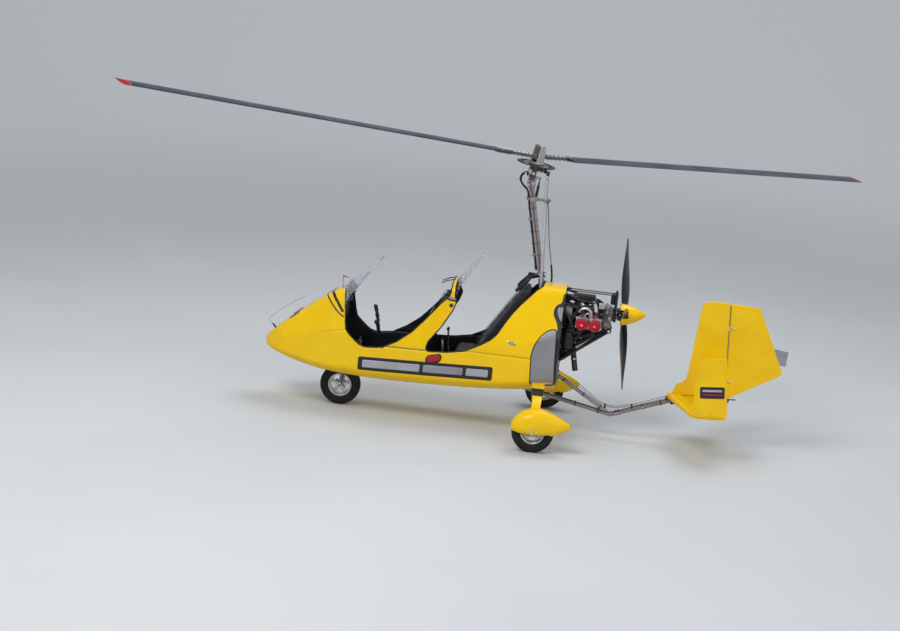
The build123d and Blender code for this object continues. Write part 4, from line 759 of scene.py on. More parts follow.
def cut_away(obj, cutter):
    """Takes the room of one closed piece out of another."""
    cut = obj.modifiers.new("cut", "BOOLEAN")
    cut.operation, cut.solver, cut.object = "DIFFERENCE", "EXACT", cutter
    bpy.context.view_layer.objects.active = obj
    with bpy.context.temp_override(object=obj, active_object=obj, selected_objects=[obj]):
        bpy.ops.object.modifier_apply(modifier=cut.name)
    bpy.data.objects.remove(cutter)


steer = radians(7)
steer_axis = floats((sin(steer), 0, cos(steer)))
nose_axle = np.array((-1.58, 0, .187))


def apply_all(obj):
    """Turns the piece's modifiers into its mesh."""
    with bpy.context.temp_override(object=obj, active_object=obj, selected_objects=[obj]):
        for modifier in list(obj.modifiers):
            bpy.ops.object.modifier_apply(modifier=modifier.name)


def shell(name, shape, node):
    """A yellow shell, black inside."""
    return wall_inward(piece(name, outward(shape), [yellow, plastic], stands_for=[node]), .008,
        inner_finish=1)


tub = shell("lower_hull", tub_skin(), "hull_tub")
apply_all(tub)
well_drum = piece("well_cutter", knob(nose_axle, steer_axis, 72, (.1225, 0), (.1225, .26)), yellow)
cut_away(tub, well_drum)
shell("nose_bonnet_shell", bonnet_skin(), "nose_bonnet")
shell("front_seat_pod", pod_skin(), "seat_pod")
shell("mast_fairing_shell", fairing_skin(), "mast_fairing")


def skin_path(line, lift, count, over=False):
    """A side-view line laid on the skin to port, moved out by lift; over carries it across the crown."""
    x, z = eased_line(line, count, 2).T
    v = v_at(x, z)
    if over:
        v[-1] = 1
    port = hull_at(x, v, lift)
    return np.vstack([port, (port * (1, -1, 1))[-2::-1]]) if over else port


# Rubber edging round the cockpits
for label, line, count, lean in (("front_cockpit", bonnet_edge, 100, (1, 0, .3)),
        ("pod_front", pod_front, 140, (1, 0, -1)), ("pod_rear", pod_rear, 140, (1, 0, -1)),
        ("rear_cockpit", fairing_edge, 160, (1, 0, -1))):
    piece(label + "_edging", tube(skin_path(line, -.002, count, True), .0062, 10, lean=lean), rubber)
for label, line in (("front_sill_edging", front_sill), ("rear_sill_edging", rear_sill)):
    piece(label, pair(tube(skin_path(line, -.002, 70), .0062, 10, lean=Y)), rubber)
# The joint between the pod and the lower hull shows as a thin dark line
piece("pod_joint_line", pair(tube(skin_path(pod_seam, -.0006, 50), .0022, 8, lean=Y)), rubber)


def patch_on_skin(centre, half, lift, columns=13):
    """A film on the skin: along its middle line (x, z) it spans half along the section each way."""
    x, z = centre.T
    v, near = v_at(x, z), .004
    rate = norm(np.subtract(hull_blend(x, v + near), hull_blend(x, v)), axis=0) / near
    return grid(hull_at(x[:, None], v[:, None] + np.linspace(-1, 1, columns) * (half / rate)[:, None], lift))


def rounded_half(share, length, half, corner):
    """Half height of a band with rounded ends: half, drawn in by a quarter circle over the last corner at each end."""
    from_end = np.minimum(share, 1 - share) * length
    drop = np.where(from_end < corner, corner - np.sqrt(np.maximum(corner ** 2 - (corner - from_end) ** 2, 0)), 0)
    return np.maximum(half - drop, .0005)


def band_patch(start, end, half, corner, lift):
    """A straight band on the skin from start to end (x, z), with rounded ends."""
    share = .5 - .5 * np.cos(np.linspace(0, pi, 110))
    start, run = floats(start), np.subtract(end, start)
    return patch_on_skin(start + share[:, None] * run, rounded_half(share, norm(run), half, corner), lift)


def film(name, shape, material):
    """A thin film laid on the hull: an open patch with its own small thickness."""
    wall_inward(piece(name, outward(shape, .75), material), .0005, "film")


# Plain band along each side: black, a silver stripe inside it and a short red dash above
for label, *sizes, material in (("side_band", (-1.392, .486), (-.172, .541), .064, .02, .0009, decal_black),
        ("front_stripe", (-1.352, .488), (-.83, .511), .034, .012, .0016, decal_grey), ("middle_stripe", (-.8, .512),
        (-.44, .529), .034, .012, .0016, tab_grey), ("rear_stripe", (-.41, .53), (-.212, .539), .034, .012, .0016,
        decal_grey), ("red_dash_edge", (-.785, .594), (-.64, .632), .042, .04, .0012, decal_black), ("red_dash",
        (-.77, .6), (-.655, .63), .027, .026, .002, decal_red)):
    film("left_" + label, band_patch(*sizes), material)
    film("right_" + label, mirrored(band_patch(*sizes)), material)


def stripe(line, wide, scale=1.05):
    """A stripe over the bonnet: its middle line (x, v) runs up to the crown, where v is 1, and down the other side;
    scale is the length of skin for a change of v by 1."""
    line = floats(line)
    line = curve(np.concatenate([line, (line * (1, -1) + (0, 2))[-2::-1]]), 121)
    ahead = unit(np.gradient(line * (1, scale), axis=0)) * wide / 2
    t = np.linspace(-1, 1, 7)
    x, v = line[:, :1] - ahead[:, 1:] * t, line[:, 1:] + ahead[:, :1] * t / scale
    return grid(hull_at(x, np.where(v <= 1, v, 2 - v), .001, np.where(v <= 1, -1, 1)))


film("bonnet_front_stripe", stripe(((-1.566, .578), (-1.605, .604), (-1.655, .655), (-1.708, .738), (-1.748, .85),
    (-1.769, 1.0)), .011), decal_black)
film("bonnet_rear_stripe", stripe(((-1.578, .618), (-1.603, .652), (-1.63, .692), (-1.668, .758), (-1.702, .865),
    (-1.7199, 1.0)), .022), decal_black)


def skin_plate(outline, lift, drop=.0016, rings=9, spine=None):
    """A crowned plate on the skin to port: rings run out to the outline from its middle, or from a spine of (z, x), and
    the last ones lie lower by drop."""
    middle = outline.mean(axis=0) if spine is None else np.stack([np.interp(outline[:, 1], *np.transpose(spine)),
        outline[:, 1]], 1)
    share = np.concatenate([np.linspace(0, .97, rings - 1), [1.0]])[:, None, None]
    x, z = np.moveaxis(middle + share * (outline - middle), -1, 0)
    height = lift - drop * np.clip((share[..., 0] - .93) / .07, 0, 1) ** 2
    return outward(grid(hull_at(x, v_at(x, z), height), wrap_columns=True))


def ringed(points, count=120, passes=3):
    """A closed outline eased from its corners: even samples, relaxed by their neighbours."""
    line = spaced(points, count, True)
    for _ in range(passes):
        line = (np.roll(line, 1, 0) + 2 * line + np.roll(line, -1, 0)) / 4
    return line


# Silver panel, the black plate of painted shade that stands for the recess at the rear edge, with its scoop, and the
# oval step, alike on both sides
silver_edge = ringed(((.168, .492), (.162, .62), (.154, .738), (.166, .82), (.188, .88), (.226, .938), (.262, .976),
    (.31, 1.002), (.346, 1.008), (.358, .996), (.365, .82), (.374, .64), (.386, .52), (.38, .498), (.3, .494)))
rear_edge = ringed(((.3935, 1.318), (.378, 1.316), (.374, 1.26), (.366, 1.228), (.338, 1.219), (.316, 1.196),
    (.306, 1.162), (.31, 1.125), (.332, 1.086), (.35, 1.056), (.36, 1.012), (.367, .82), (.376, .64), (.388, .52),
    (.3935, .5), (.3935, .9)), 220)
scoop_edge = ringed(((.3915, 1.202), (.366, 1.2), (.346, 1.195), (.336, 1.17), (.341, 1.14), (.357, 1.108),
    (.376, 1.08), (.3915, 1.074)))
piece("side_panels_silver", pair(skin_plate(silver_edge, .0026)), silver,
    stands_for=["side_panels"])
# The black plate along the rear edge is painted shade: a dark sheet laid on the skin where the recess into the engine
# bay lies in shadow
piece("rear_edge_painted_shade", pair(skin_plate(rear_edge, .0022, spine=((.49, .3925), (1.03, .385), (1.09, .362), (1.2, .362),
    (1.24, .385), (1.33, .388)))), plastic)
piece("scoop_lining", pair(skin_plate(scoop_edge, .0042)), silver)
for name, outline, lift, radius in (("side_panel_seals", silver_edge, .0012, .0048),
        ("scoop_rims", scoop_edge, .003, .0034)):
    path = hull_at(outline[:, 0], v_at(*outline.T), lift)
    piece(name, pair(closed_tube(path, radius, (0, 1, .2))), rubber)
step_angle = around(60)
step_outline = np.stack([-.03 + .045 * np.cos(step_angle) + .002 * np.sin(step_angle), .8405 - .0095 *
    np.cos(step_angle) + .0135 * np.sin(step_angle)], 1)
piece("oval_caps", pair(skin_plate(step_outline, .0052, .005, 12)), bright)
step_hole = (-.03, .8405) + (step_outline - (-.03, .8405)) * (.42, .4)
piece("oval_cap_centres", pair(skin_plate(step_hole, .0064, .0014)), plain_steel)


def skin_screws(spots, across=.009, lift=.0004):
    """Round-headed screws on the skin to port at (x, z)."""
    shapes = []
    for x, z in spots:
        at = skin_spot(x, z, lift)
        shapes.append(turned([(0, 0), (across * .52, 0), (across * .5, .0012), (across * .3, .0026), (0, .003)], at,
            skin_spot(x, z, lift + .01) - at, 16))
    return joined(*shapes)


piece("shell_screws", pair(skin_screws([(-2.12, .64), (-1.9, .703), (-1.7, .745), (-1.555, .8), (-1.1, .655),
    (-.98, .655), (-.86, .657), (-.5, .69), (-.34, .735), (-.2, .735), (0.0, .735), (.12, .735), (-.255, .805),
    (-.13, .935), (-.03, 1.095), (.09, 1.235)])), bright)
piece("side_panel_screws", pair(skin_screws([(.182, .52), (.176, .7), (.205, .875), (.262, .955), (.345, .998),
    (.372, .86), (.374, .7), (.378, .545), (.28, .512)], .008, .0024)), gloss)

# Nose: probe under a thin wire bow, louvre, and the slip flag on its rod
nose_top = skin_spot(-2.232)
piece("nose_probe", tube(curve((nose_top + (.018, 0, -.006), nose_top + (.002, 0, .01), nose_top + (-.018, 0, .03),
    nose_top + (-.03, 0, .042)), 24), np.linspace(.0125, .0045, 24), 16, flat=.7), gloss)
piece("nose_probe_wire", tube(curve((nose_top + (-.028, 0, .04), nose_top + (-.062, 0, .075), nose_top + (-.04, 0, .11),
    nose_top + (.09, 0, .222), nose_top + (.24, 0, .322), nose_top + (.262, 0, .33)), 60), .0013, 8), gloss)
piece("nose_louvres", pair(*[tube(hull_at(x, np.linspace(.83, .915, 12), .0025), .0042, 10, lean=(1, 0, .4)) for x in
    np.linspace(-2.075, -2.013, 5)]), tab_grey)
piece("nose_louvre_beds", pair(outward(grid(hull_at(np.linspace(-2.087, -2.001, 14)[:, None],
    np.linspace(.82, .925, 12), .001)), .6)), plastic)
flag_foot = skin_spot(-1.64)
piece("slip_flag_rod", [rod(flag_foot - (0, 0, .004), flag_foot + (-.006, 0, .112), .0022, 12), knob(flag_foot,
    (-.45, 0, 1), 24, (.013, 0), (.013, .003), (.006, .007))], gloss)
ribbon_s, ribbon_t = np.meshgrid(np.linspace(0, 1, 16), np.linspace(-1, 1, 6), indexing="ij")
ribbon = np.stack([flag_foot[0] - .005 + .05 * ribbon_s, .006 * np.sin(7 * ribbon_s) * ribbon_s, flag_foot[2] + .1 -
    .006 * ribbon_s ** 2 + ribbon_t * .0065 * (1 - .5 * ribbon_s)], -1)
flag_wall = piece("slip_flag", grid(ribbon), red_paint).modifiers.new("cloth", "SOLIDIFY")
flag_wall.thickness = .0008


# ---- Cockpits ---------------------------------------------------------------------------------

def softened(node, material, width=.0015, body="airframe", smooth=35, segments=2):
    """A CAD node's own shape with rounded edges: a copy of its mesh, merged, its flat faces joined, then bevelled."""
    source = nodes[node]
    mesh = source.data.copy()
    work = bmesh.new()
    work.from_mesh(mesh)
    bmesh.ops.remove_doubles(work, verts=work.verts, dist=2e-6)
    bmesh.ops.dissolve_limit(work, angle_limit=radians(.6), verts=work.verts, edges=work.edges)
    work.to_mesh(mesh)
    work.free()
    mesh.materials.clear()
    mesh.materials.append(material)
    obj = bpy.data.objects.new(node + "_finished", mesh)
    bpy.context.scene.collection.objects.link(obj)
    mesh.shade_smooth()
    mesh.set_sharp_from_angle(angle=radians(smooth))
    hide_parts(node)
    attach(obj, body)
    if width:
        eased(obj, width, segments)
    return obj


def set_points(mesh, points):
    """Moves a mesh's points to new places."""
    mesh.vertices.foreach_set("co", np.asarray(points, dtype=np.float32).ravel())
    mesh.update()


def read_mesh(mesh, label="co"):
    """A mesh's points, or its normals."""
    values = np.empty(len(mesh.vertices) * 3, dtype=np.float32)
    mesh.vertices.foreach_get(label, values)
    return values.reshape(-1, 3).astype(float)


def stuffed(obj, cap, pressure=4.0, voxel=.006):
    """Swells a pad as cloth over foam: voxel remesh, a pressure simulation, and no point moves further than cap."""
    remesh = obj.modifiers.new("even cells", "REMESH")
    remesh.mode, remesh.voxel_size = "VOXEL", voxel
    apply_all(obj)
    before = read_mesh(obj.data)
    cloth = obj.modifiers.new("swell", "CLOTH")
    settings = cloth.settings
    settings.use_pressure, settings.uniform_pressure_force, settings.quality = True, pressure, 4
    settings.effector_weights.gravity = 0
    cloth.point_cache.frame_start, cloth.point_cache.frame_end = 1, 20
    for count in range(1, 21):
        bpy.context.scene.frame_set(count)
    after = read_mesh(obj.evaluated_get(bpy.context.evaluated_depsgraph_get()).data)
    obj.modifiers.remove(cloth)
    bpy.context.scene.frame_set(1)
    shift = after - before
    far = norm(shift, axis=1, keepdims=True)
    set_points(obj.data, before + shift * np.minimum(1, cap / np.maximum(far, 1e-9)))
    obj.data.shade_smooth()


def sewn(obj, lines, depth=.007, wide=.01):
    """Presses sewn channels into a pad: each line is a point and a direction square to the channel; the skin sinks by
    depth times a bell curve of the distance to it."""
    points, normals = read_mesh(obj.data), read_mesh(obj.data, "normal")
    sink = np.zeros(len(points))
    for at, square in lines:
        far = (points - at) @ square
        sink = np.maximum(sink, np.exp(-(far / wide) ** 2))
    set_points(obj.data, points - normals * (depth * sink)[:, None])
    smooth = obj.modifiers.new("rounder", "SUBSURF")
    smooth.levels = smooth.render_levels = 1


def pad(name, shape, node, lines):
    """A stuffed and sewn cushion in a CAD node's place."""
    obj = piece(name, shape, seat_cloth, stands_for=[node], weld=1e-6)
    stuffed(obj, .01)
    sewn(obj, lines)


def inner_half(x, z, gap=.02, most=.3):
    """Half width inside the hull at x and z, less a gap."""
    return np.minimum(hull_blend(x, v_at(x, z))[0] - gap, most)


def both_edges(half, height):
    """An outline up one side and down the other, at a half width for each height."""
    return np.concatenate([np.stack([half, height], 1), np.stack([-half, height], 1)[::-1]])


def back_shape(low, high, thick, most):
    """A seat back in the plane of its bulkhead, from low to high (x, z): its width follows the hull's inside."""
    low, high = floats(low), floats(high)
    length = norm(high - low)
    share = np.linspace(0, 1, 26)
    x, z = (low + share[:, None] * (high - low)).T
    half = inner_half(x, z, .026, most)
    ends = np.minimum(share, 1 - share) * length
    half = half - np.where(ends < .05, .05 - np.sqrt(np.maximum(.05 ** 2 - (.05 - ends) ** 2, 0)), 0)
    up = floats(((high - low)[0], 0, (high - low)[1])) / length
    rear = np.cross(Y, up)
    place = np.eye(4)
    place[:3] = np.stack([Y, up, rear, (low[0], 0, low[1])], 1)
    return slab(both_edges(half, share * length), place, .008 - thick, -.006, .012), up


def seat(label, pan, back_low, back_high):
    """One seat: a base pad with cross channels and piping round its seam, and a back pad with its own channels."""
    front, rear, under, top = pan
    pad(f"{label}_seat_cushion", brick((front + .012, -.195, under + .01), (rear - .006, .195, top - .01), .045, .014),
        f"{label}_seat_base", [((front + (rear - front) * k / 4, 0, 0), X) for k in (1, 2, 3)])
    piping = rounded(rear - front - .018, .392, .045, 10)
    ring = np.column_stack([piping[:, 0] + (front + rear) / 2 + .003, piping[:, 1],
        np.full(len(piping), (under + top) / 2)])
    piece(f"{label}_seat_piping", closed_tube(ring, .0035, Z), harness_web)
    shape, up = back_shape(back_low, back_high, .075, .285)
    length = hypot(back_high[0] - back_low[0], back_high[1] - back_low[1])
    lines = [((back_low[0] + up[0] * d, 0, back_low[1] + up[2] * d), up) for d in np.arange(.11, length - .05, .11)]
    pad(f"{label}_seat_back_cushion", shape, f"{label}_seat_back", lines)


seats = (("front", (-1.19, -.85, .53, .6), (-.868, .612), (-.615, 1.137)), ("rear", (-.56, -.215, .61, .685),
    (-.292, .697), (.088, 1.278)))
for sizes in seats:
    seat(*sizes)


def strap(path, wide, thick=.0022, across=Y):
    """Flat webbing: a rounded strip, wide along across and thin along the path's normal."""
    path = curve(path, 60)
    tangent = unit(np.gradient(path, axis=0))
    across = unit(floats(across) - tangent * (tangent @ across)[:, None])
    normal = np.cross(tangent, across)
    outline = rounded(wide, thick, thick * .48, 3)
    rings = path[:, None] + across[:, None] * outline[None, :, :1] + normal[:, None] * outline[None, :, 1:]
    ends = [rings[:1].mean(axis=1, keepdims=True) + 0 * rings[:1], rings[-1:].mean(axis=1, keepdims=True) + 0 *
        rings[-1:]]
    return grid(np.concatenate([ends[0], rings, ends[1]]), wrap_columns=True)


def harness(label, pan, back_low, back_high):
    """Two shoulder straps down the back pad and two lap straps over the base pad, with metal buckles."""
    low, run = floats(back_low), np.subtract(back_high, back_low)
    square = unit(run) @ ((0, 1), (-1, 0))
    spots = [(*(low + share * run + square * lift), .075 + .012 * share) for share, lift in ((1.02, .03), (.97, .088),
        (.8, .096), (.5, .096), (.25, .096), (.08, .092))]
    shoulder = [(x, y, z) for x, z, y in spots]
    _, rear, _, top = pan
    shoulder.append((shoulder[-1][0] - .05, .06, top + .022))
    lap = [(rear - back, y, top + lift) for back, y, lift in ((.015, .222, -.05), (.035, .216, .005), (.08, .17, .022),
        (.11, .1, .02), (.12, .05, .02))]
    piece(f"{label}_harness_straps", pair(strap(shoulder, .046), strap(lap, .046, across=(1, 0, .2))), harness_web)
    slider, clasp = low + .62 * run + square * .098, floats((rear - .12, -.012, top + .02))
    piece(f"{label}_harness_buckles", [pair(plate(.054, .03, .006, (slider[0], .083, slider[1]),
        (square[0], 0, square[1]), 0, .005, .0015, aside=Y), bolt((rear - .018, .222, top - .055), Y, .014, .006)),
        plate(.052, .042, .008, clasp, Z, 0, .012, .003, aside=Y), plate(.03, .03, .006, clasp + (0, 0, .012), Z, 0,
        .004, .0015, aside=Y), plate(.04, .036, .006, clasp + (0, .04, 0), Z, .003, .0065, .001, aside=Y)], bright)


for sizes in seats:
    harness(*sizes)


def gauge(at, axis, radius):
    """A round instrument: its stepped case, its glassy face, and its marks with the needle."""
    at, axis = floats(at), floats(axis)
    case = knob(at, axis, 40, (radius * .92, -.03), (radius * .92, 0), (radius, 0), (radius, .004),
        (radius * .92, .006), (radius * .84, .004), (radius * .82, .0015))
    face = knob(at, axis, 40, (radius * .81, .002), (radius * .8, .0026))

    def turned_out(outline, turn, out, low, high):
        place = placement(at + axis * .0027, Y, axis) @ placement((sin(turn) * out, cos(turn) * out, 0),
            (cos(turn), -sin(turn), 0), Z)
        return slab(outline, place, low, high)

    marks = [turned_out([(-.0008, -.003), (.0008, -.003), (.0008, .003), (-.0008, .003)], turn, radius * .66, 0, .0004)
        for turn in np.radians(np.arange(-130, 131, 26))]
    marks.append(turned_out([(-.0014, -.008), (.0014, -.008), (.0006, radius * .55), (-.0006, radius * .55)],
        radians(-50), 0, .0006, .0012))
    return case, face, joined(*marks)


def dash(label, x, low, high, rows, radius):
    """A moulded panel across the cockpit: its outline follows the hull's inside, with screws and round instruments."""
    z = np.linspace(low, high, 24)
    board = slab(both_edges(inner_half(x, z, .013), z), placement((x, 0, 0), Y, X), -.006, .006, .002)
    cases, faces, marks = zip(*[gauge((x + .006, y, height), X, radius) for height, ys in rows for y in ys])
    screws = pair(*[bolt((x + .006, float(inner_half(x, height, .03)), height), X, .007, .003, False) for height in
        np.linspace(low + .03, high - .06, 4)])
    piece(f"{label}_instrument_board", board, plastic, stands_for=["instrument_panels"])
    piece(f"{label}_instrument_cases", [*cases, screws], gloss)
    piece(f"{label}_instrument_faces", [*faces], dial_face)
    piece(f"{label}_instrument_marks", [*marks], decal_grey)


dash("front", -1.606, .8, 1.092, ((1.025, (-.1, 0, .1)), (.935, (-.15, -.05, .05, .15)), (.85, (-.13, .13))), .038)
dash("rear", -.606, 1.152, 1.288, ((1.238, (-.085, 0, .085)),), .028)
roll_half = float(inner_half(-.606, 1.152, .018))
piece("rear_board_roll", tube(np.stack([np.full(40, -.604), np.linspace(-roll_half, roll_half, 40), np.full(40, 1.15)],
    1), .0095, 16), rubber)


def rounded_pod(low, high, power=3.0, rows=24, columns=36):
    """A moulded housing: a superellipsoid, |x|^n + |y|^n + |z|^n = 1 stretched between two corners."""
    low, high = floats(low), floats(high)
    lift = np.linspace(-pi / 2, pi / 2, rows)[:, None]
    spin = around(columns)[None]
    def root(value):
        return np.sign(value) * np.abs(value) ** (2 / power)
    ball = np.stack([root(np.cos(lift)) * root(np.cos(spin)), root(np.cos(lift)) * root(np.sin(spin)),
        root(np.sin(lift)) + 0 * spin], -1)
    return grid((low + high) / 2 + ball * (high - low) / 2, wrap_columns=True)


piece("compass_pod", rounded_pod((-1.585, -.045, 1.085), (-1.515, .035, 1.155), 2.6), pod_grey)
piece("compass_window", rounded_pod((-1.53, -.032, 1.1), (-1.508, .022, 1.142), 2.4), dial_face)
piece("radio_pod", rounded_pod((-1.592, -.2, 1.005), (-1.535, -.13, 1.07), 3.4), pod_grey)
piece("radio_knobs", [knob((-1.538, y, z), X, 24, (.009, 0), (.009, .012), (.007, .014)) for y in (-.185, -.148) for z
    in (1.022, 1.052)], gloss)
piece("navigation_screen", brick((-1.59, .02, 1.075), (-1.56, .155, 1.15), .008, .004), gloss)
piece("navigation_glass", brick((-1.5605, .028, 1.083), (-1.5585, .147, 1.142), .0009, .0004), dial_face)
piece("rear_pod_knob", knob((-.6, -.14, 1.222), X, 28, (.016, 0), (.019, .006), (.019, .02), (.014, .026)), gloss)


def windscreen(label, base, tip, edges, bend):
    """A bent clear sheet: between its middle line and its side edges, y = Y sin(t b) / sin b and the rest follows
    (1 - cos(t b)) / (1 - cos b)."""
    edge, bend = curve(edges, 48), radians(bend)
    middle = np.linspace(base, tip, 48)
    t = np.linspace(-1, 1, 41) * bend
    draw = (1 - np.cos(t)) / (1 - cos(bend))
    x, z = (middle[:, k:k + 1] + (edge[:, 2 * k, None] - middle[:, k:k + 1]) * draw for k in (0, 1))
    sheet = grid(np.stack([x, edge[:, 1, None] * np.sin(t) / sin(bend), z], -1))
    wall_inward(piece(f"{label}_windscreen", outward(sheet, .9), clear_acrylic,
        stands_for=["windscreens"]), .003, "sheet")
    rim = curve(edges, 40)
    piece(f"{label}_windscreen_screws", pair(*[bolt((p[0], -p[1] + .002, p[2] + .012), (.15, -1, .35), .009, .004) for p
        in (rim[3], rim[9])]), gloss)


windscreen("front", (-1.652, 1.092), (-1.287, 1.436), ((-1.568, .268, .965), (-1.53, .262, 1.079), (-1.45, .255, 1.188),
    (-1.405, .245, 1.283), (-1.306, .2, 1.375)), 66)
windscreen("rear", (-.612, 1.292), (-.38, 1.571), ((-.583, .222, 1.19), (-.552, .212, 1.268), (-.5, .192, 1.365),
    (-.446, .16, 1.455), (-.398, .112, 1.542)), 60)


# Stick, throttle and brake levers, pedals
stick_path = curve(((-1.262, 0, .415), (-1.266, 0, .56), (-1.272, 0, .74), (-1.292, 0, .83)), 40)
grip_path = curve(((-1.288, 0, .818), (-1.3, 0, .87), (-1.314, 0, .925), (-1.322, 0, .958)), 30)
grip_swell = .0165 + .0035 * np.cos(np.linspace(0, 6 * pi, 30)) * np.linspace(1, .2, 30)
piece("control_stick", [tube(stick_path, .0105, 16), knob((-1.262, 0, .418), Z, 28, (.024, 0), (.026, .006),
    (.018, .03), (.0135, .05))], gloss, stands_for=["hand_controls"])
piece("control_stick_grip", [tube(grip_path, grip_swell, 18),
    rounded_pod((-1.342, -.017, .935), (-1.304, .017, .968), 2.6)], rubber)
piece("control_stick_button", turned([(0, 0), (.007, 0), (.006, .006), (0, .007)], (-1.331, 0, .966), (-.3, 0, 1), 20),
    decal_red)
lever_path = curve(((-1.24, -.088, .43), (-1.245, -.089, .56), (-1.265, -.092, .7), (-1.288, -.095, .815)), 40)
piece("throttle_lever", [tube(lever_path, .0075, 14), brick((-1.272, -.112, .362), (-1.208, -.064, .405), .01, .004),
    plate(.058, .052, .02, (-1.24, -.083, .425), -Y, 0, .01, .002)], gloss)
piece("throttle_knob", rounded_pod((-1.31, -.115, .805), (-1.27, -.075, .85), 2.3), rubber)


def pedals(label, x, half, foot_z, top_z):
    """A pair of rudder pedals: a cross tube, and a forked upright and a ribbed foot bar each side."""
    y, foot = half - .03, x + .03
    fork = (x - .004, y, (foot_z + top_z) / 2)
    piece(f"{label}_rudder_pedals", [rod((foot, -half, foot_z), (foot, half, foot_z), .0095, 20),
        pair(rod((foot, y, foot_z), fork, .0085, 16), bolt((foot, y + .012, foot_z), Y, .015, .008),
        *[rod(fork, (x - .02, y + reach, top_z), .0065, 14) for reach in (-.026, .026)])], light_alloy,
        stands_for=["rudder_pedals"])
    ribs = [(.0125 + .001 * (k % 2), .002 + .0034 * k) for k in range(17)]
    piece(f"{label}_pedal_bars", [knob((x - .02, s * y - .03, top_z), Y, 22, (.012, 0), *ribs, (.012, .06)) for s in
        (1, -1)], rubber)


pedals("front", -1.425, .095, .4225, .62)
pedals("rear", -.64, .268, .433, .775)

# Keel beam, seat frames and firewall
softened("keel_beam", gloss, .003)
softened("seat_frames", gloss, .0015)
softened("firewall", plastic, .001)

# Pod top: dark and bright bands, bolts and support rods
for label, z_front, z_rear, wide, finish_used, lift in (("dark", 1.158, 1.15, .032, decal_black, .0012),
        ("bright", 1.163, 1.155, .01, decal_grey, .002)):
    band = patch_on_skin(np.linspace((-.651, z_front), (-.572, z_rear), 16), wide / 2, lift, 5)
    film(f"pod_{label}_band_left", band, finish_used)
    film(f"pod_{label}_band_right", mirrored(band), finish_used)
pod_bolt_at = skin_spot(-.61, 1.1, .0005)
piece("pod_bolts", pair(turned([(0, 0), (.017, 0), (.017, .004), (.013, .007), (0, .008)], pod_bolt_at, (0, -1, .25),
    28), bolt(pod_bolt_at + (0, -.007, .0018), (0, -1, .25), .012, .005, False)), gloss)
piece("pod_support_rods", pair(tube(curve(((-.61, -.06, 1.303), (-.68, -.064, 1.284), (-.738, -.068, 1.255)), 20),
    .0045, 12)), gloss)


# ---- Mast and rotor head ----------------------------------------------------------------------

tilt, swing = radians(7.47), radians(44.0)
head_axis = np.array((sin(tilt), 0, cos(tilt)))
head_aft = np.array((cos(tilt), 0, -sin(tilt)))
span_dir = np.array((cos(swing) * head_aft[0], sin(swing), cos(swing) * head_aft[2]))
cross_dir = np.cross(head_axis, span_dir)
hub = np.array((0, 0, 2.487))
mast_slope = -.3738 / 1.74098


def mast_mid(z):
    """The mast's middle line at a height."""
    return np.array((.3368 + (z - .515) * mast_slope, 0, z))


def at_head(height, aft=0.0, y=0.0):
    """A point measured from the hub in the head's own directions."""
    return hub + head_axis * height + head_aft * aft + (0, y, 0)


def at_rotor(height, out=0.0, across=0.0):
    """A point measured from the hub along the rotor and across it."""
    return hub + head_axis * height + span_dir * out + cross_dir * across


def hose(points, radius, count=40, sides=10):
    """A tube along a smooth line through the points."""
    return tube(curve(points, count), radius, sides)


def hoses(*rows):
    """A hose for each row of points, radius, count and sides."""
    return [hose(*row) for row in rows]


mast_run = unit(mast_mid(2.2) - mast_mid(1.2))
mast_front = floats((-mast_run[2], 0, mast_run[0]))
softened("mast", frame_steel, .004, segments=3)
softened("mast_brackets", frame_steel, .0015)
softened("support_bar", gloss, 0)
softened("gimbal_block", cast_alloy, .003, "gimbal")
softened("head_frame", cast_alloy, .002, "rotor_head")
softened("teeter_tower", tower_alloy, .002, "rotor_shaft")
softened("hub_bar", bar_alloy, .0015, "rotor")
softened("control_rods", rod_paint, 0, "rods")

piece("mast_bolts", pair(*[bolt(mast_mid(z) + mast_front * fore + (0, -.0163, 0), -Y, .014, .008) for z, fore in
    ((2.222, .01), (2.222, -.012), (2.1, 0), (1.435, .012), (1.4, -.012), (1.46, -.012), (.62, .01), (.58, -.01),
    (.54, .01))]), bright)
piece("mast_head_bolts", [pair(*[bolt(mast_mid(2.236) + mast_front * fore + (0, .026, 0), Y, .016, .009) for fore in
    (.02, -.02)]), bolt(at_head(-.186, -.0435), -head_aft, .02, .01), bolt(at_head(-.186, .0435), head_aft, .02, .01)],
    bright)
piece("support_bar_clamp_bolts", pair(*[bolt(mast_mid(1.418) + mast_front * fore + (.008, -.03, lift), -Y, .012, .007)
    for fore, lift in ((.022, .016), (.022, -.016), (-.028, .016), (-.028, -.016))]), bright)
piece("support_bar_pads", pair(*[tube(curve([floats(a) + np.subtract(b, a) * s for s in (.12, .5, .88)], 12), .0185, 18)
    for a, b in (((.049, -.12, 1.394), (-.05, -.13, 1.285)), ((.04, -.09, 1.406), (.05, -.119, 1.396)))]), rubber)

# Cables and hoses lashed down the mast's front, looping over to the head
loop = curve(((-.106, 0, 2.331), (-.128, 0, 2.302), (-.131, 0, 2.262), (-.098, 0, 2.214), (-.057, 0, 2.172),
    mast_mid(2.06) + (-.0375, 0, 0), mast_mid(1.95) + (-.0375, 0, 0), mast_mid(1.7) + (-.0365, 0, 0), mast_mid(1.465) +
    (-.0365, 0, 0)), 150)
_, loop_side, loop_up = rail_frames(loop, Y)
strands = []
for count, (wide, turn) in enumerate(((.0052, 0), (.0052, 2.1), (.0052, 4.2), (.006, 1.05), (.006, 3.14))):
    sway = .0007 * np.sin(np.linspace(0, 34 + 5 * count, 150))[:, None]
    strands.append(tube(loop + loop_side * (wide * cos(turn)) + loop_up * (wide * sin(turn)) + loop_side * sway, .0047
        if count < 3 else .0032, 10, lean=Y))
piece("mast_cables", strands, loom_sleeve, stands_for=["cable_bundle"])
front_of_head = at_head(-.171, -.046)
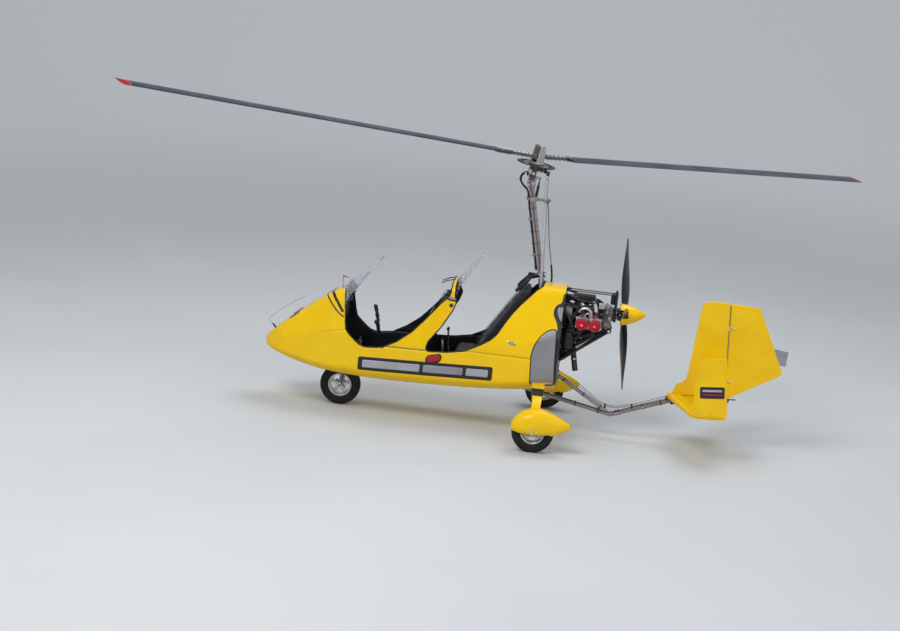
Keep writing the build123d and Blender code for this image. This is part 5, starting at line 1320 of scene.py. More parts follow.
nose_loop = piece("head_cables", [hose(((-.106, wide, 2.331), (-.094, wide, 2.341), (-.082, wide, 2.341), front_of_head
    + (-.01, wide, .006), front_of_head + (.01, wide, -.001)), .0045, 50) for wide in (-.0052, .0052)], loom_sleeve,
    None)
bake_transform(nose_loop)
piece("head_cable_gland", knob(front_of_head, -head_aft, 28, (.0135, 0), (.015, .002), (.015, .008), (.011, .016)),
    rubber, "gimbal")
# Trim cylinder between the mast's arm and the gimbal
strut_low, strut_high = np.array((.0215, 0, 2.11)), np.array((.0395, 0, 2.296))
strut_run = unit(strut_high - strut_low)
strut = piece("trim_cylinder", knob(strut_low, strut_run, 28, (.0085, 0), (.011, .003), (.011, .012), (.0125, .014),
    (.0125, .118), (.011, .121), (.007, .123), (.007, .15), (.0048, .152), (.0048, .18), (.008, .182), (.008, .192)),
    gloss, None)
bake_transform(strut)
# Brake cable down the mast's rear into its sleeve at the fairing
piece("rotor_brake_cable", [hose(((.131, .03, 2.088), (.143, .034, 2.02), (.16, .04, 1.9), (.18, .045, 1.745),
    (.205, .045, 1.62), (.228, .045, 1.51)), .0034, 80, 10), hose(((.226, .045, 1.52), (.236, .045, 1.46),
    (.243, .045, 1.41), (.244, .045, 1.362)), .0085, 40, 14)], rubber)
piece("rotor_brake_cable_clip", turned([(.0034, -.012), (.008, -.012), (.008, .012), (.0034, .012)],
    (.1315, .03, 2.084), (.15, 0, -1), 20), gloss)
ties = []
for z in np.arange(1.5, 2.15, .105):
    ring = rounded(.079, .0345, .008, 6)
    spots = mast_mid(z) + mast_front * .012 + ring[:, :1] * mast_front + ring[:, 1:] * Y
    ties.append(closed_tube(spots, .0016, mast_run))
for k in (6, 14, 22, 30):
    ties.append(knob(loop[k], loop[k + 1] - loop[k - 1], 20, (.0116, -.003), (.0126, -.0015), (.0126, .0015),
        (.0116, .003)))
piece("mast_cable_ties", ties, gloss)
piece("mast_cable_clips", [brick(mast_mid(z) + (-.058, -.013, -.012), mast_mid(z) + (-.026, .013, .012), .004, .002)
    for z in (1.6, 1.92, 2.1)], frame_steel)
piece("mast_sensor_wires", pair(hose([mast_mid(z) + (.002 * sin(9 * z), -.019, 0) for z in np.linspace(1.45, 2.16, 14)],
    .0026, 90, 8), hose([mast_mid(2.16) + (0, -.019, 0), mast_mid(2.2) + (-.012, -.034, .02),
    at_head(-.175, -.03, -.046), at_head(-.14, -.058, -.05)], .0026, 40, 8)), rubber)

# Ends of the control rods
rod_low = np.array((mast_mid(1.29)[0] - .0104, 0, 1.29))
rod_high = at_head(-.152, .124)
rod_run = unit(rod_high - rod_low)
eye = rod_high + (0, .05, 0)
piece("control_rod_ends", pair(knob(eye - rod_run * .072, rod_run, 28, (.0128, 0), (.0134, .002), (.0134, .02),
    (.011, .024), (.0085, .03), (.0085, .05)), turned([(.0072, -.0075), (.0125, -.0075), (.014, -.004), (.014, .004),
    (.0125, .0075), (.0072, .0075)], eye, Y, 28), bolt(eye + (0, .0075, 0), Y, .013, .0055, False)), bright, "rods")
piece("control_rod_pins", pair(bolt(at_head(-.152, .124, .0185), -Y, .014, .006, False)), bright, "rotor_head")

# Bearing housing, cover bolts and the spin-up drive on the head's arm
housing = knob(at_head(-.1115), head_axis, 64, (.0475, 0), (.049, .002), (.049, .008), (.047, .01), (.047, .026),
    (.0455, .029))
piece("rotor_bearing_housing", [housing, *[bolt(at_head(-.1035) + head_aft * cos(a) * .0485 + (0, sin(a) * .0485, 0),
    head_axis, .009, .005, False) for a in np.arange(.4, 6.3, pi / 4)]], cast_alloy, "rotor_head")
drive = [knob(at_head(-.0965, aft, -.044), Y, 30, (.0125, 0), (.014, .0015), (.014, .026), (.0125, .0275)) for aft in
    (.062, .095)]
piece("spin_up_drive_caps", drive, gloss, "rotor_head")
piece("spin_up_drive_body", [plate(.074, .026, .01, at_head(-.0975, .0785, -.02), Y, 0, .044, .003, aside=head_aft),
    knob(at_head(-.104, .11, .0), head_aft + .2 * head_axis, 26, (.01, 0), (.011, .001), (.011, .03)),
    *[bolt(at_head(-.1115, aft, y), head_axis, .01, .006) for aft in (-.045, -.03) for y in (.028, -.028)]],
    light_alloy, "rotor_head")
piece("head_side_bolts", [*[bolt(at_head(-.152, 0, s * .0375), s * Y, .019, .009) for s in (1, -1)],
    *[bolt(at_head(-.122, aft, s * .0373), s * Y, .01, .006) for s in (1, -1) for aft in (-.04, .045, .075)]], bright,
    "rotor_head")

# Toothed ring under the teeter tower
teeth = 96
tooth = np.where(np.arange(4 * teeth) % 4 < 2, .175, .17)[:, None]
inner = .148
ring_rows = [(inner + .001, 0), (inner, .001), (inner, .0107), (inner + .001, .0117), (tooth - .0008, .0117),
    (tooth, .0108), (tooth, .001), (tooth - .0008, 0)]
ring_points = np.stack([np.column_stack([circle(around(4 * teeth)) * r, np.full(4 * teeth, h)]) for r, h in ring_rows],
    1)
ring_place = placement(at_head(-.074), head_aft, head_axis)
spoke = plate(.292, .024, .003, (0, 0, 0), Z, .0015, .0102, .001)
spokes = [moved(spoke, Matrix.Rotation(radians(turn), 4, "Z")) for turn in (0, 60, 120)]
disc = turned([(.0152, .0005), (.058, .0005), (.0598, .0015), (.0598, .0106), (.058, .0115), (.0152, .0115)], (0, 0, 0),
    Z, 64)
piece("toothed_ring", moved(joined(grid(ring_points, True, True), disc, *spokes), ring_place), gear_steel,
    "rotor_shaft", stands_for=["ring_gear"])
piece("toothed_ring_bolts", [bolt(at_head(-.0625) + head_aft * .052 * cos(a) + (0, .052 * sin(a), 0), -head_axis, .009,
    .0125, False) for a in np.arange(.3, 6.2, pi / 3)], bright, "rotor_shaft")
piece("tower_base", [knob(at_head(-.0617), head_axis, 72, (.07, 0), (.0715, .0015), (.0715, .0095), (.069, .0125),
    (.052, .0135)), *[bolt(at_head(-.0485) + head_aft * .0615 * cos(a) + (0, .0615 * sin(a), 0), head_axis, .01, .007)
    for a in np.arange(.2, 6.3, pi / 4)]], light_alloy, "rotor_shaft")
piece("teeter_bolt", [joined(knob(at_rotor(.075, 0, s * .0522), s * cross_dir, 32, (.0175, 0), (.0185, .001),
    (.0185, .003)), bolt(at_rotor(.075, 0, s * .055), s * cross_dir, .026, .012, False)) for s in (1, -1)], bright,
    "rotor_shaft")
piece("teeter_stops", [rounded_pod(at_rotor(-.048, 0, s * .03) - (.014, .014, .006), at_rotor(-.048, 0, s * .03) +
    (.014, .014, .016), 2.6) for s in (1, -1)], rubber, "rotor_shaft")


# Hub bar fittings and rotor blades; side 1 is the blade to starboard and aft, -1 the one to port and forward
def blade_place(side, out):
    """Placement at a distance out along one blade's cone: x ahead as it turns, z out along the blade."""
    reach = unit(span_dir * side + head_axis * tan(radians(2.34)))
    return placement(hub + reach * out, np.cross(head_axis, reach), reach)


def foil(chord, thick, sides=56):
    """A symmetric section, x from 0.27 chord ahead to 0.73 behind: thickness t (1.4845 r - 0.63 q - 1.758 q^2 +
    1.4215 q^3 - 0.518 q^4) about the middle, with q the share of the chord and r its root; the tail is 1.5 mm thick."""
    lap = around(sides)
    q = (1 - np.cos(lap)) / 2
    half = thick * (1.4845 * np.sqrt(q) - .63 * q - 1.758 * q ** 2 + 1.4215 * q ** 3 - .518 * q ** 4) + .0007 * q
    return np.stack([chord * (.27 - q), np.where(lap < pi, half, -half)], 1)


def blade(side, low, high, tip=False):
    """A length of blade between two distances from the hub, its ends closed; a tip is rounded off."""
    outline = foil(.215, .027)
    levels = [(low, .985), (low + .0015, 1.0)] + [(low + (high - low) * k, 1.0) for k in np.linspace(.02, .98, 14)]
    levels += [(high - .012, 1.0), (high - .004, .97), (high, .8)] if tip else [(high - .0015, 1.0), (high, .985)]
    rings = np.stack([np.column_stack([outline * draw, np.full(len(outline), level)]) for level, draw in levels])
    middle = [np.array([[0, 0, levels[k][0]]]) + 0 * rings[:1] for k in (0, -1)]
    points = np.concatenate([middle[0], rings, middle[1]])
    return moved(grid(points, wrap_columns=True), blade_place(side, 0))


for side, label in ((1, "aft"), (-1, "forward")):
    piece(f"rotor_blade_{label}", blade(side, .33, 4.228), blade_paint, "rotor",
        stands_for=["rotor_blades"], recalc=True)
    piece(f"rotor_blade_tip_{label}", blade(side, 4.228, 4.265, True), red_paint, "rotor", recalc=True)
    place = blade_place(side, 0)
    plates, heads = [], []
    for face in (1, -1):
        flat = placement(place[:3, 3], place[:3, 2], face * place[:3, 1])
        z_ahead = np.linalg.inv(flat) @ np.append(place[:3, 3] + place[:3, 0], 1)
        sign = copysign(1, z_ahead[1])
        plates.append(moved(plate(.176, .06, .01, (.418, sign * .004, 0), Z, .0128, .0165, .001), flat))
        heads += [moved(bolt((out, sign * (.004 + across), .0165), Z, .013, .009), flat) for out in
            np.arange(.348, .5, .028) for across in (-.016, .016)]
        heads += [moved(bolt((out, across, .0122), Z, .014, .01), flat) for out in (.11, .15, .2, .25, .3) for across in
            (-.018, .018)]
        plates.append(moved(plate(.2, .05, .01, (.185, 0, 0), Z, .0118, .0142 if face < 0 else .0132, .0008), flat))
    piece(f"blade_root_plates_{label}", plates, bar_alloy, "rotor")
    piece(f"blade_root_bolts_{label}", heads, bright, "rotor")
piece("teeter_block", plate(.066, .052, .006, at_rotor(0), head_axis, .012, .058, .003, aside=cross_dir), cast_alloy,
    "rotor")
piece("teeter_block_bolts", [bolt(at_rotor(.0125, s * .045, c * .016), head_axis, .014, .01) for s in (1, -1) for c in
    (1, -1)], bright, "rotor")


# ---- Engine and propeller ---------------------------------------------------------------------

crank_z, cylinder_xs = 1.082, (.569, .684)
plug_xs = [x - .012 + .03 * lead for x in cylinder_xs for lead in (0, 1)]


def head_plates(*sizes):
    """Rounded plates square to each cylinder's axis; the last size is a plate's height over it."""
    return pair(*[plate(w, h, corner, (x, 0, crank_z + lift), Y, low, high, ease, steps) for x in cylinder_xs for w, h,
        corner, low, high, ease, steps, lift in sizes])


piece("crankcase", [brick((.484, -.095, .98), (.744, .095, 1.187), .02, .006),
    brick((.49, -.1005, 1.077), (.738, .1005, 1.089), .003, .001), *[brick((x, -.0985, .985), (x + .007, .0985, 1.182),
    .004, .002) for x in np.arange(.5, .735, .034)], knob((.455, 0, crank_z + .01), X, 64, (.06, 0), (.078, .01),
    (.078, .024), (.07, .03), (.07, .06), (.078, .066), (.078, .1), (.07, .11))], cast_alloy,
    stands_for=["engine_block"])
fins = [(radius, .096 + .0125 * k + z) for k in range(9) for radius, z in
    ((.0445, 0), (.05, .0005), (.05, .0045), (.0445, .005))]
piece("engine_cylinders", pair(*[turned([(0, .094), *fins, (.044, .214), (0, .214)], (x, 0, crank_z), Y, 48) for x in
    cylinder_xs]), cast_alloy)
piece("engine_heads", head_plates((.104, .098, .022, .212, .279, .004, 6, 0),
    *[(.11, .103, .02, low, low + .004, .001, 6, 0) for low in (.222, .234, .246, .258)]), light_alloy)
piece("engine_gaskets", head_plates((.1045, .0925, .029, .2785, .2832, .0008, 6, 0)), rubber)
stud_spots = [(x + dx, .214, crank_z + dz) for x in cylinder_xs for dx in (-.056, .056) for dz in (-.043, .043)]
piece("engine_bolts", pair(*[bolt(spot, Y, .012, .006, False) for spot in stud_spots],
    *[knob(spot, Y, 12, (.0045, -.12), (.0045, 0)) for spot in stud_spots], *[bolt((x, .0985, z), Y, .011, .007) for x
    in (.512, .6265, .728) for z in (1.005, 1.15)], *[bolt((x, .06, 1.187), Z, .011, .007) for x in (.52, .62, .72)]),
    bright)
piece("rocker_covers_red", head_plates((.102, .09, .03, .2832, .34, .01, 9, 0),
    (.072, .06, .022, .338, .3475, .004, 9, 0), *[(.058, .009, .004, .3465, .35, .0015, 6, lift) for lift in
    (-.012, .012)]), red_cover, stands_for=["rocker_covers"])
piece("rocker_cover_bolts", pair(*[bolt((x, .3475, crank_z), Y, .012, .0045) for x in cylinder_xs]), bright)

softened("gearbox", gear_alloy, .004, segments=3)
corners = np.array([(-.07, 1.086), (.07, 1.086), (.096, 1.18), (.06, 1.338), (-.06, 1.338), (-.096, 1.18)])
guard_line = np.concatenate([[a + (b - a) * s for s in np.linspace(0, 1, 8, False)] for a, b in
    zip(corners, np.roll(corners, -1, 0))])
lap = around(len(guard_line))
port_hole = np.stack([.0475 * np.cos(lap - 2.4), 1.1492 + .0475 * np.sin(lap - 2.4)], 1)
narrow = guard_line * (.985, 1)
rings = np.stack([np.column_stack([np.full(len(lap), x), ring]) for x, ring in ((.8505, narrow), (.85, guard_line),
    (.86, guard_line), (.8605, narrow), (.86, port_hole), (.8505, port_hole))])
piece("propeller_guard_plate", [grid(rings, True, True),
    pair(tube(np.linspace((.395, .045, 1.327), (.85, .045, 1.327), 12), .0048, 12), *[knob((x, .045, 1.327), toward, 20,
    (.0095, 0), (.0095, .03), (.0065, .036)) for x, toward in ((.395, X), (.85, -X))], tube(curve(((.846, .074, 1.092),
    (.846, .09, 1.18), (.846, .07, 1.265), (.846, .05, 1.352)), 30), .01, 14))], gloss,
    stands_for=["engine_plate"], recalc=True)
piece("regulator_box", [brick((.8, -.04, 1.238), (.846, .04, 1.322), .008, .004),
    *[brick((.797, y, 1.244), (.802, y + .004, 1.316), .001, .0005) for y in np.arange(-.034, .036, .011)]], plastic)
softened("engine_mount", gloss, 0)
piece("gearbox_ribs", [pair(*[brick((.7485, .0715, z), (.823, .0775, z + .005), .002, .001) for z in
    np.arange(1.03, 1.19, .026)]), turned([(.047, 0), (.066, 0), (.068, .002), (.068, .01), (.066, .012), (.047, .012)],
    (.8365, 0, 1.1475), X, 56)], gear_alloy)
piece("gearbox_bolts", [*[bolt((.824, .058 * cos(a), 1.148 + .058 * sin(a)), -X, .009, .005, False) for a in
    np.arange(.2, 6.3, pi / 4)], pair(*[bolt((.8605, y, z), X, .012, .007) for y, z in
    ((.055, 1.1), (.08, 1.18), (.048, 1.325))])], bright)

# Intake: an air box with a filter at its front and pipes down to the cylinders
piece("intake_pipes", pair(*[tube(curve(((x, .205, 1.132), (x, .205, 1.165), (x - .004, .192, 1.196),
    (x - .012, .16, 1.222), (x - .025, .1, 1.234), (x - .038, .045, 1.238)), 40), .0165, 20) for x in cylinder_xs],
    *[knob((x, .205, 1.1315), Z, 30, (.028, 0), (.03, .002), (.03, .007), (.028, .009)) for x in cylinder_xs]),
    tower_alloy, stands_for=["air_intake"])
piece("intake_clamps", pair(*[turned([(.0165, 0), (.0195, 0), (.02, .001), (.02, .009), (.0195, .01), (.0165, .01)], (x
    - .0405 + k * .03, .052 + .022 * k, 1.2365 - .001 * k), (-.23, -1, .06), 24) for x in cylinder_xs for k in (0, 1)]),
    rubber)
piece("intake_elbows", pair(*hoses((((.532, .232, 1.176), (.556, .24, 1.206), (.6, .246, 1.214), (.636, .25, 1.19),
    (.646, .252, 1.148), (.642, .25, 1.128)), .0125, 60, 16), (((.584, .262, 1.128), (.59, .266, 1.16),
    (.612, .268, 1.178), (.63, .266, 1.16), (.632, .262, 1.128)), .007, 50, 12))), light_alloy)
piece("air_box", [brick((.46, -.055, 1.229), (.66, .055, 1.295), .022, .01), *[brick((x, -.0565, 1.2275),
    (x + .005, .0565, 1.2965), .02, .008) for x in np.arange(.5, .65, .024)]], plastic)
filter_middle = (.452, -.048, 1.268)
piece("air_filter", plate(.112, .03, .0145, filter_middle, -Y, -.04, .05, .006, 9), red_paint)
piece("air_filter_cap", [plate(.118, .036, .0175, filter_middle, -Y, low, high, .003, 9) for low, high in
    ((-.044, -.032), (.046, .056))], rubber)
piece("carburettors", pair(knob((.505, .15, 1.175), (1, 0, .1), 36, (.024, 0), (.026, .003), (.026, .02), (.021, .024),
    (.021, .052), (.027, .056), (.027, .066)), brick((.52, .129, 1.14), (.56, .171, 1.168), .008, .003)), cast_alloy)
piece("carburettor_tops", pair(turned([(0, 0), (.023, 0), (.025, .003), (.023, .02), (.016, .026), (0, .027)],
    (.541, .15, 1.198), Z, 36)), gloss)
piece("ignition_box", [brick((.404, -.165, 1.115), (.47, -.06, 1.205), .008, .004),
    *[brick((.4, -.167, z), (.474, -.058, z + .004), .006, .001) for z in (1.135, 1.16, 1.185)]], silver)

# Hoses, leads and wiring: points, radius, rings and sides of each
piece("spark_leads", pair(*[hose(((.47, .07 + .02 * count, 1.19 - .02 * lead),
    (.5 + .03 * count, .11, 1.215 + .012 * lead), (x - .02, .175, 1.185 + .02 * lead),
    (x - .014 + .03 * lead, .236, 1.166), (x - .012 + .03 * lead, .246, 1.128)), .0042, 44, 8) for count, x in
    enumerate(cylinder_xs) for lead in (0, 1)]), hose_rubber)
cylinder_hoses = [row for count, x in enumerate(cylinder_xs) for row in ((((x + .02, .25, 1.128),
    (x + .02, .252, 1.165), (x - .04, .23, 1.192), (.52, .19, 1.175), (.47, .205, 1.08), (.462, .215, .985)), .0105, 60,
    12), (((x - .01, .255, 1.034), (x - .012, .258, 1.005), (x - .06, .235, .975), (.5, .2, .93 - .02 * count),
    (.47, .18, .84 - .02 * count), (.41, .15, .8)), .0125, 60, 12))]
piece("engine_hoses", [pair(*hoses(*cylinder_hoses, (((.4, .1, 1.235), (.45, .13, 1.225), (.5, .14, 1.205),
    (.512, .15, 1.183)), .012, 40, 12), (((.4, .22, 1.05), (.44, .16, 1.02), (.49, .12, .97), (.56, .105, .955),
    (.64, .115, .975), (.72, .1, 1)), .0085, 50, 10), (((.74, .06, 1.19), (.7, .08, 1.215), (.62, .085, 1.212),
    (.54, .08, 1.2), (.45, .05, 1.16)), .0075, 50, 10))), hose(((.62, -.1, .985), (.6, -.14, .93), (.55, -.15, .89),
    (.5, -.1, .955), (.42, -.12, .99)), .011, 50, 12)], rubber)
piece("hose_clips", [collar((x + shift, y, z), (0, .05, 1), 20, inner, inner + .0023, .008) for x in cylinder_xs for s
    in (1, -1) for shift, y, z, inner in ((.02, .2505 * s, 1.138, .0105), (-.01, .2555 * s, 1.018, .0125))], bright)
piece("spark_plug_caps", pair(*[knob((x, .246, 1.128), Z, 16, (.0085, 0), (.0085, .022), (.006, .028)) for x in
    plug_xs]), red_paint)

# Coolant and oil tanks beside the firewall
piece("engine_fluid_tanks", pair(knob((.455, .215, .8305), Z, 56, (.03, 0), (.046, .006), (.05, .016), (.05, .139),
    (.046, .149), (.03, .155)), brick((.395, .196, .864), (.42, .234, .952), .004, .002)), gloss,
    stands_for=["engine_tanks"])
piece("engine_tank_caps", pair(knob((.455, .215, .984), Z, 32, (.022, 0), (.024, .003), (.024, .014), (.02, .018))),
    rubber)
piece("engine_tank_straps", pair(*[collar((.455, .215, z), Z, 56, .05, .0518, .014) for z in (.865, .935)],
    bolt((.455, .266, .942), Y, .01, .006)), rubber)

# Exhaust: four headers, a drum across behind the firewall and a tail pipe
piece("exhaust_pipes", [knob((.47, -.109, .862), Y, 56, (.04, 0), (.053, .004), (.056, .01), (.056, .208), (.053, .214),
    (.04, .218)), pair(*[hose(((x, .236, 1.036), (x - .004, .238, 1), (x - .03, .215, .955), (.2355 + x / 2, .15, .905),
    (.48, reach, .868)), .015, 44, 18) for x, reach in ((.569, .1), (.684, .085))],
    *[knob((x, .236, 1.03), Z, 28, (.026, 0), (.026, .006)) for x in cylinder_xs]), hose(((.5, -.06, .85),
    (.512, -.064, .8), (.53, -.067, .71), (.5525, -.07, .602)), .0255, 44, 28)], burnt_steel,
    stands_for=["exhaust"])
piece("exhaust_bands", [*[collar((.47, y, .862), Y, 56, .056, .0575, .006) for y in (-.08, -.003, .074)],
    collar((.5295, -.0668, .715), (.0215, -.003, -.098), 36, .0255, .03, .01)], bright)

# Radiator, battery box and looms that fill the bay behind the firewall
piece("coolant_radiator", [brick((.402, -.104, .93), (.438, .104, 1.125), .006, .003),
    *[brick((.438, -.096, z), (.444, .096, z + .003), .001, .0008) for z in np.arange(.94, 1.115, .012)]], plastic)
piece("battery_box", [brick((.4, -.105, .7), (.452, .105, .792), .01, .004),
    brick((.398, -.108, .735), (.454, .108, .747), .004, .002)], plastic)
piece("engine_looms", pair(*hoses((((.4, .19, 1.15), (.44, .2, 1.12), (.475, .225, 1.06), (.5, .232, 1),
    (.47, .222, .99)), .015, 50, 14), (((.43, .12, 1.08), (.47, .165, 1.055), (.505, .19, 1.02), (.535, .18, .985),
    (.56, .115, .975)), .013, 50, 14), (((.4, .11, 1.3), (.45, .125, 1.285), (.52, .13, 1.262), (.6, .118, 1.25),
    (.69, .105, 1.235), (.745, .085, 1.205)), .012, 60, 12), (((.402, .175, 1.225), (.45, .185, 1.215),
    (.5, .19, 1.205), (.56, .186, 1.222), (.62, .182, 1.205), (.7, .15, 1.195), (.76, .09, 1.17)), .0085, 70, 12),
    (((.7, .11, 1.01), (.73, .15, 1.05), (.745, .16, 1.11), (.75, .14, 1.17), (.76, .095, 1.19)), .01, 50, 12),
    (((.64, .195, .985), (.69, .185, .965), (.74, .14, .985), (.765, .095, 1.03)), .0095, 50, 12), (((.42, .13, .935),
    (.45, .16, .9), (.5, .175, .88), (.54, .15, .915), (.59, .12, .96)), .011, 50, 12), (((.4, .06, 1.215),
    (.435, .075, 1.245), (.47, .09, 1.255), (.54, .095, 1.215), (.6, .085, 1.195)), .0095, 50, 12))), rubber)
piece("oil_filter", knob((.59, .096, 1.01), (0, 1, -.2), 40, (.03, 0), (.034, .004), (.034, .07), (.03, .076),
    (.012, .08)), gloss)
piece("starter_relay", [brick((.7, -.15, 1.21), (.752, -.112, 1.258), .006, .003),
    bolt((.726, -.15, 1.24), -Y, .012, .008)], tower_alloy)
piece("gearbox_fittings", [knob(at, axis, 24, (.012, 0), (.014, .002), (.014, .014), (.009, .018), (.009, .03)) for at,
    axis in (((.775, -.0745, 1.175), -Y), ((.805, -.0745, 1.12), -Y), ((.775, -.0745, 1.065), -Y),
    ((.775, .0745, 1.175), Y), ((.805, .0745, 1.12), Y), ((.79, -.03, 1.2045), Z), ((.77, .03, 1.2045), Z))],
    tower_alloy)
piece("mount_pads", pair(*[knob(at, Y, 32, (.022, 0), (.024, .003), (.024, .015), (.022, .018)) for at in
    ((.64, .094, .965), (.812, .072, 1.004))]), rubber)
piece("mount_bolts", pair(*[bolt(at, Y, .016, .009) for at in ((.64, .12, .965), (.812, .096, 1.004))],
    *[bolt((.3945, y, z), X, .014, .008) for y, z in ((.178, .695), (.122, .672), (.145, 1), (.095, 1), (.045, 1.352),
    (.045, 1.303))]), bright)

# Propeller: bladed hub, spinner
softened("spinner", yellow_paint, .001, "propeller")
softened("propeller_blades", carbon, 0, "propeller", smooth=40)
rake = radians(4.6)
prop_axis, prop_hub, prop_up = floats((cos(rake), 0, sin(rake))), floats((.912, 0, 1.154)), floats((-sin(rake), 0,
    cos(rake)))


def prop_out(turn):
    """The direction out from the propeller's hub, turned from straight up."""
    return prop_up * cos(turn) + Y * sin(turn)


piece("propeller_hub_bolts", [*[bolt(prop_hub - prop_axis * .042 + .04 * prop_out(a), -prop_axis, .012, .007) for a in
    np.arange(.3, 6.5, pi / 3)], *[bolt(prop_hub - prop_axis * .0143 + .086 * prop_out(a), -prop_axis, .008, .004,
    False) for a in np.arange(.1, 6.3, pi / 4)]], bright, "propeller")
piece("propeller_blade_cuffs", [turned([(.018, .05), (.0245, .05), (.0255, .052), (.0255, .068), (.0245, .07),
    (.018, .07)], prop_hub + prop_axis * .02, prop_out(radians(turn)), 32) for turn in (40.7, 160.7, 280.7)],
    light_alloy, "propeller")


# ---- Landing gear and wheels ------------------------------------------------------------------

def symmetric(half, *rest):
    """A wheel's profile: one half, its mirror image, then the rest."""
    half = floats(half)
    return np.vstack([half, half[::-1] * (1, -1), *rest])


def wheel(label, middle):
    """A tyre with three grooves, a light rim with five broad spokes, a hub with bolts and a valve."""
    middle, body = floats(middle), label + "_wheel"
    tread = symmetric(((.1003, -.0385), (.108, -.0392), (.118, -.0455), (.142, -.05), (.162, -.047), (.1745, -.0405),
        (.18, -.035), (.1832, -.03), (.1848, -.0262), (.18, -.025), (.18, -.0205), (.1858, -.0193), (.1866, -.007),
        (.1815, -.0055), (.1815, -.002)), (.1003, -.0385))
    piece(f"{label}_tyre_tread", turned(tread, middle, Y, 120), tyre_rubber, body,
        stands_for=[f"{label}_tyre"], smooth=30)
    blocks = [plate(.01, .008, .002, middle + (.1802 * cos(a), s * .0352, .1802 * sin(a)), (cos(a), s * .45, sin(a)),
        -.002, .0028, steps=2, aside=(-sin(a), 0, cos(a))) for s in (1, -1) for a in around(60)]
    piece(f"{label}_tyre_shoulders", blocks, tyre_rubber, body, smooth=0)
    barrel = symmetric(((.0925, -.0385), (.0985, -.043), (.1065, -.0432), (.1072, -.0412), (.1066, -.0393),
        (.1, -.0391), (.099, -.034), (.093, -.018)), (.0885, .018), (.0885, -.018), (.0925, -.0385))
    hub_rings = symmetric(((.0111, -.0448), (.025, -.0448), (.0262, -.0436), (.0262, -.018), (.034, -.01)))
    parts = [turned(barrel, middle, Y, 96), turned(hub_rings, middle, Y, 48)]
    for a in 2 * pi * (np.arange(5) + .25) / 5:
        place = placement(middle, (cos(a), 0, sin(a)), Y)
        parts += [slab(((.024, -.0145), (.06, -.012), (.0905, -.0235), (.0905, .0235), (.06, .012), (.024, .0145)),
            place, -.0095, .0095, .003), slab(((.03, -.004), (.086, -.004), (.086, .004), (.03, .004)), place, -.014,
            .014, .002)]
    piece(f"{label}_rim_barrel", parts, light_alloy, body, stands_for=[f"{label}_rim"])
    piece(f"{label}_wheel_bolts", [*[bolt(middle + (.029 * cos(a), s * .012, .029 * sin(a)), s * Y, .008, .005, False)
        for s in (1, -1) for a in np.linspace(.3, 6.58, 6)[:-1]], knob(middle + (.08, -.01, .03), (-.6, -.8, -.2), 12,
        (.0035, 0), (.0035, .016), (.0028, .02)), collar(middle + (0, .0215, 0), Y, 64, .03, .06, .004)], bright, body)


wheel("nose", nose_axle)
wheel("left", (.264, -.82, .187))
wheel("right", (.264, .82, .187))

softened("nose_fork", frame_steel, .0015, "nose_gear")
softened("main_axles", bright, .0008)
softened("nose_gear_well", plastic, .001)
piece("nose_fork_fittings", pair(turned([(.0115, 0), (.018, 0), (.019, .001), (.019, .006), (.0115, .006)], nose_axle +
    (0, .0832, 0), Y, 32), *[bolt(nose_axle + steer_axis * .205 + (-.018, y, 0), (-1, 0, .12), .012, .007) for y in
    (.071, .025)], turned([(.0122, 0), (.015, 0), (.016, .001), (.016, .02), (.015, .021), (.0122, .021)], nose_axle +
    steer_axis * .012 + (0, .071, 0), steer_axis, 28)), bright, "nose_gear")
piece("nose_brake_line", pair(hose([nose_axle + steer_axis * k + (.013 + .002 * sin(30 * k), .0775, 0) for k in
    (.02, .06, .1, .15, .19)], .0028, 40, 8)), rubber, "nose_gear")

# Landing leg: its bow with rounded edges, a dark band at the root of each side and its bolts
softened("landing_leg", yellow_paint, .006, segments=4)
piece("landing_leg_bolts", pair(*[bolt((x, y, .535), Z, .016, .008) for x in (.215, .28) for y in (.06, .17)],
    *[bolt((.264 + .021 * cos(a), .7545, .187 + .021 * sin(a)), Y, .009, .005, False) for a in
    np.arange(.3, 6.3, pi / 3)]), bright)
piece("brake_calipers", pair(brick((.3, .738, .215), (.345, .766, .275), .008, .004)), cast_alloy)
piece("brake_lines", pair(hose(((.322, -.75, .272), (.318, -.742, .315), (.3, -.7, .385), (.292, -.62, .421),
    (.29, -.5, .45), (.288, -.38, .492), (.284, -.3, .515)), .0032, 70, 8)), rubber)
piece("landing_leg_bands", pair(plate(.1085, .032, .008, (.2525, -.45, .469), (0, -1, -.2544), 0, .135, .001, steps=8)),
    plastic)

# Wheel spats: pods whose section is a rounded superellipse, open below round the tyre
spat_top = curve(((.062, .214), (.075, .262), (.118, .322), (.185, .37), (.264, .3935), (.35, .388), (.43, .357),
    (.52, .318), (.568, .294), (.585, .279), (.5905, .262)), 160)
spat_low = curve(((.062, .206), (.078, .185), (.12, .16), (.18, .142), (.264, .133), (.35, .141), (.43, .163),
    (.52, .203), (.568, .229), (.585, .243), (.5905, .257)), 160)
spat_wide = curve(((.062, .004), (.075, .06), (.1, .088), (.15, .108), (.23, .1175), (.32, .112), (.42, .088),
    (.52, .056), (.568, .034), (.585, .02), (.5905, .005)), 160)


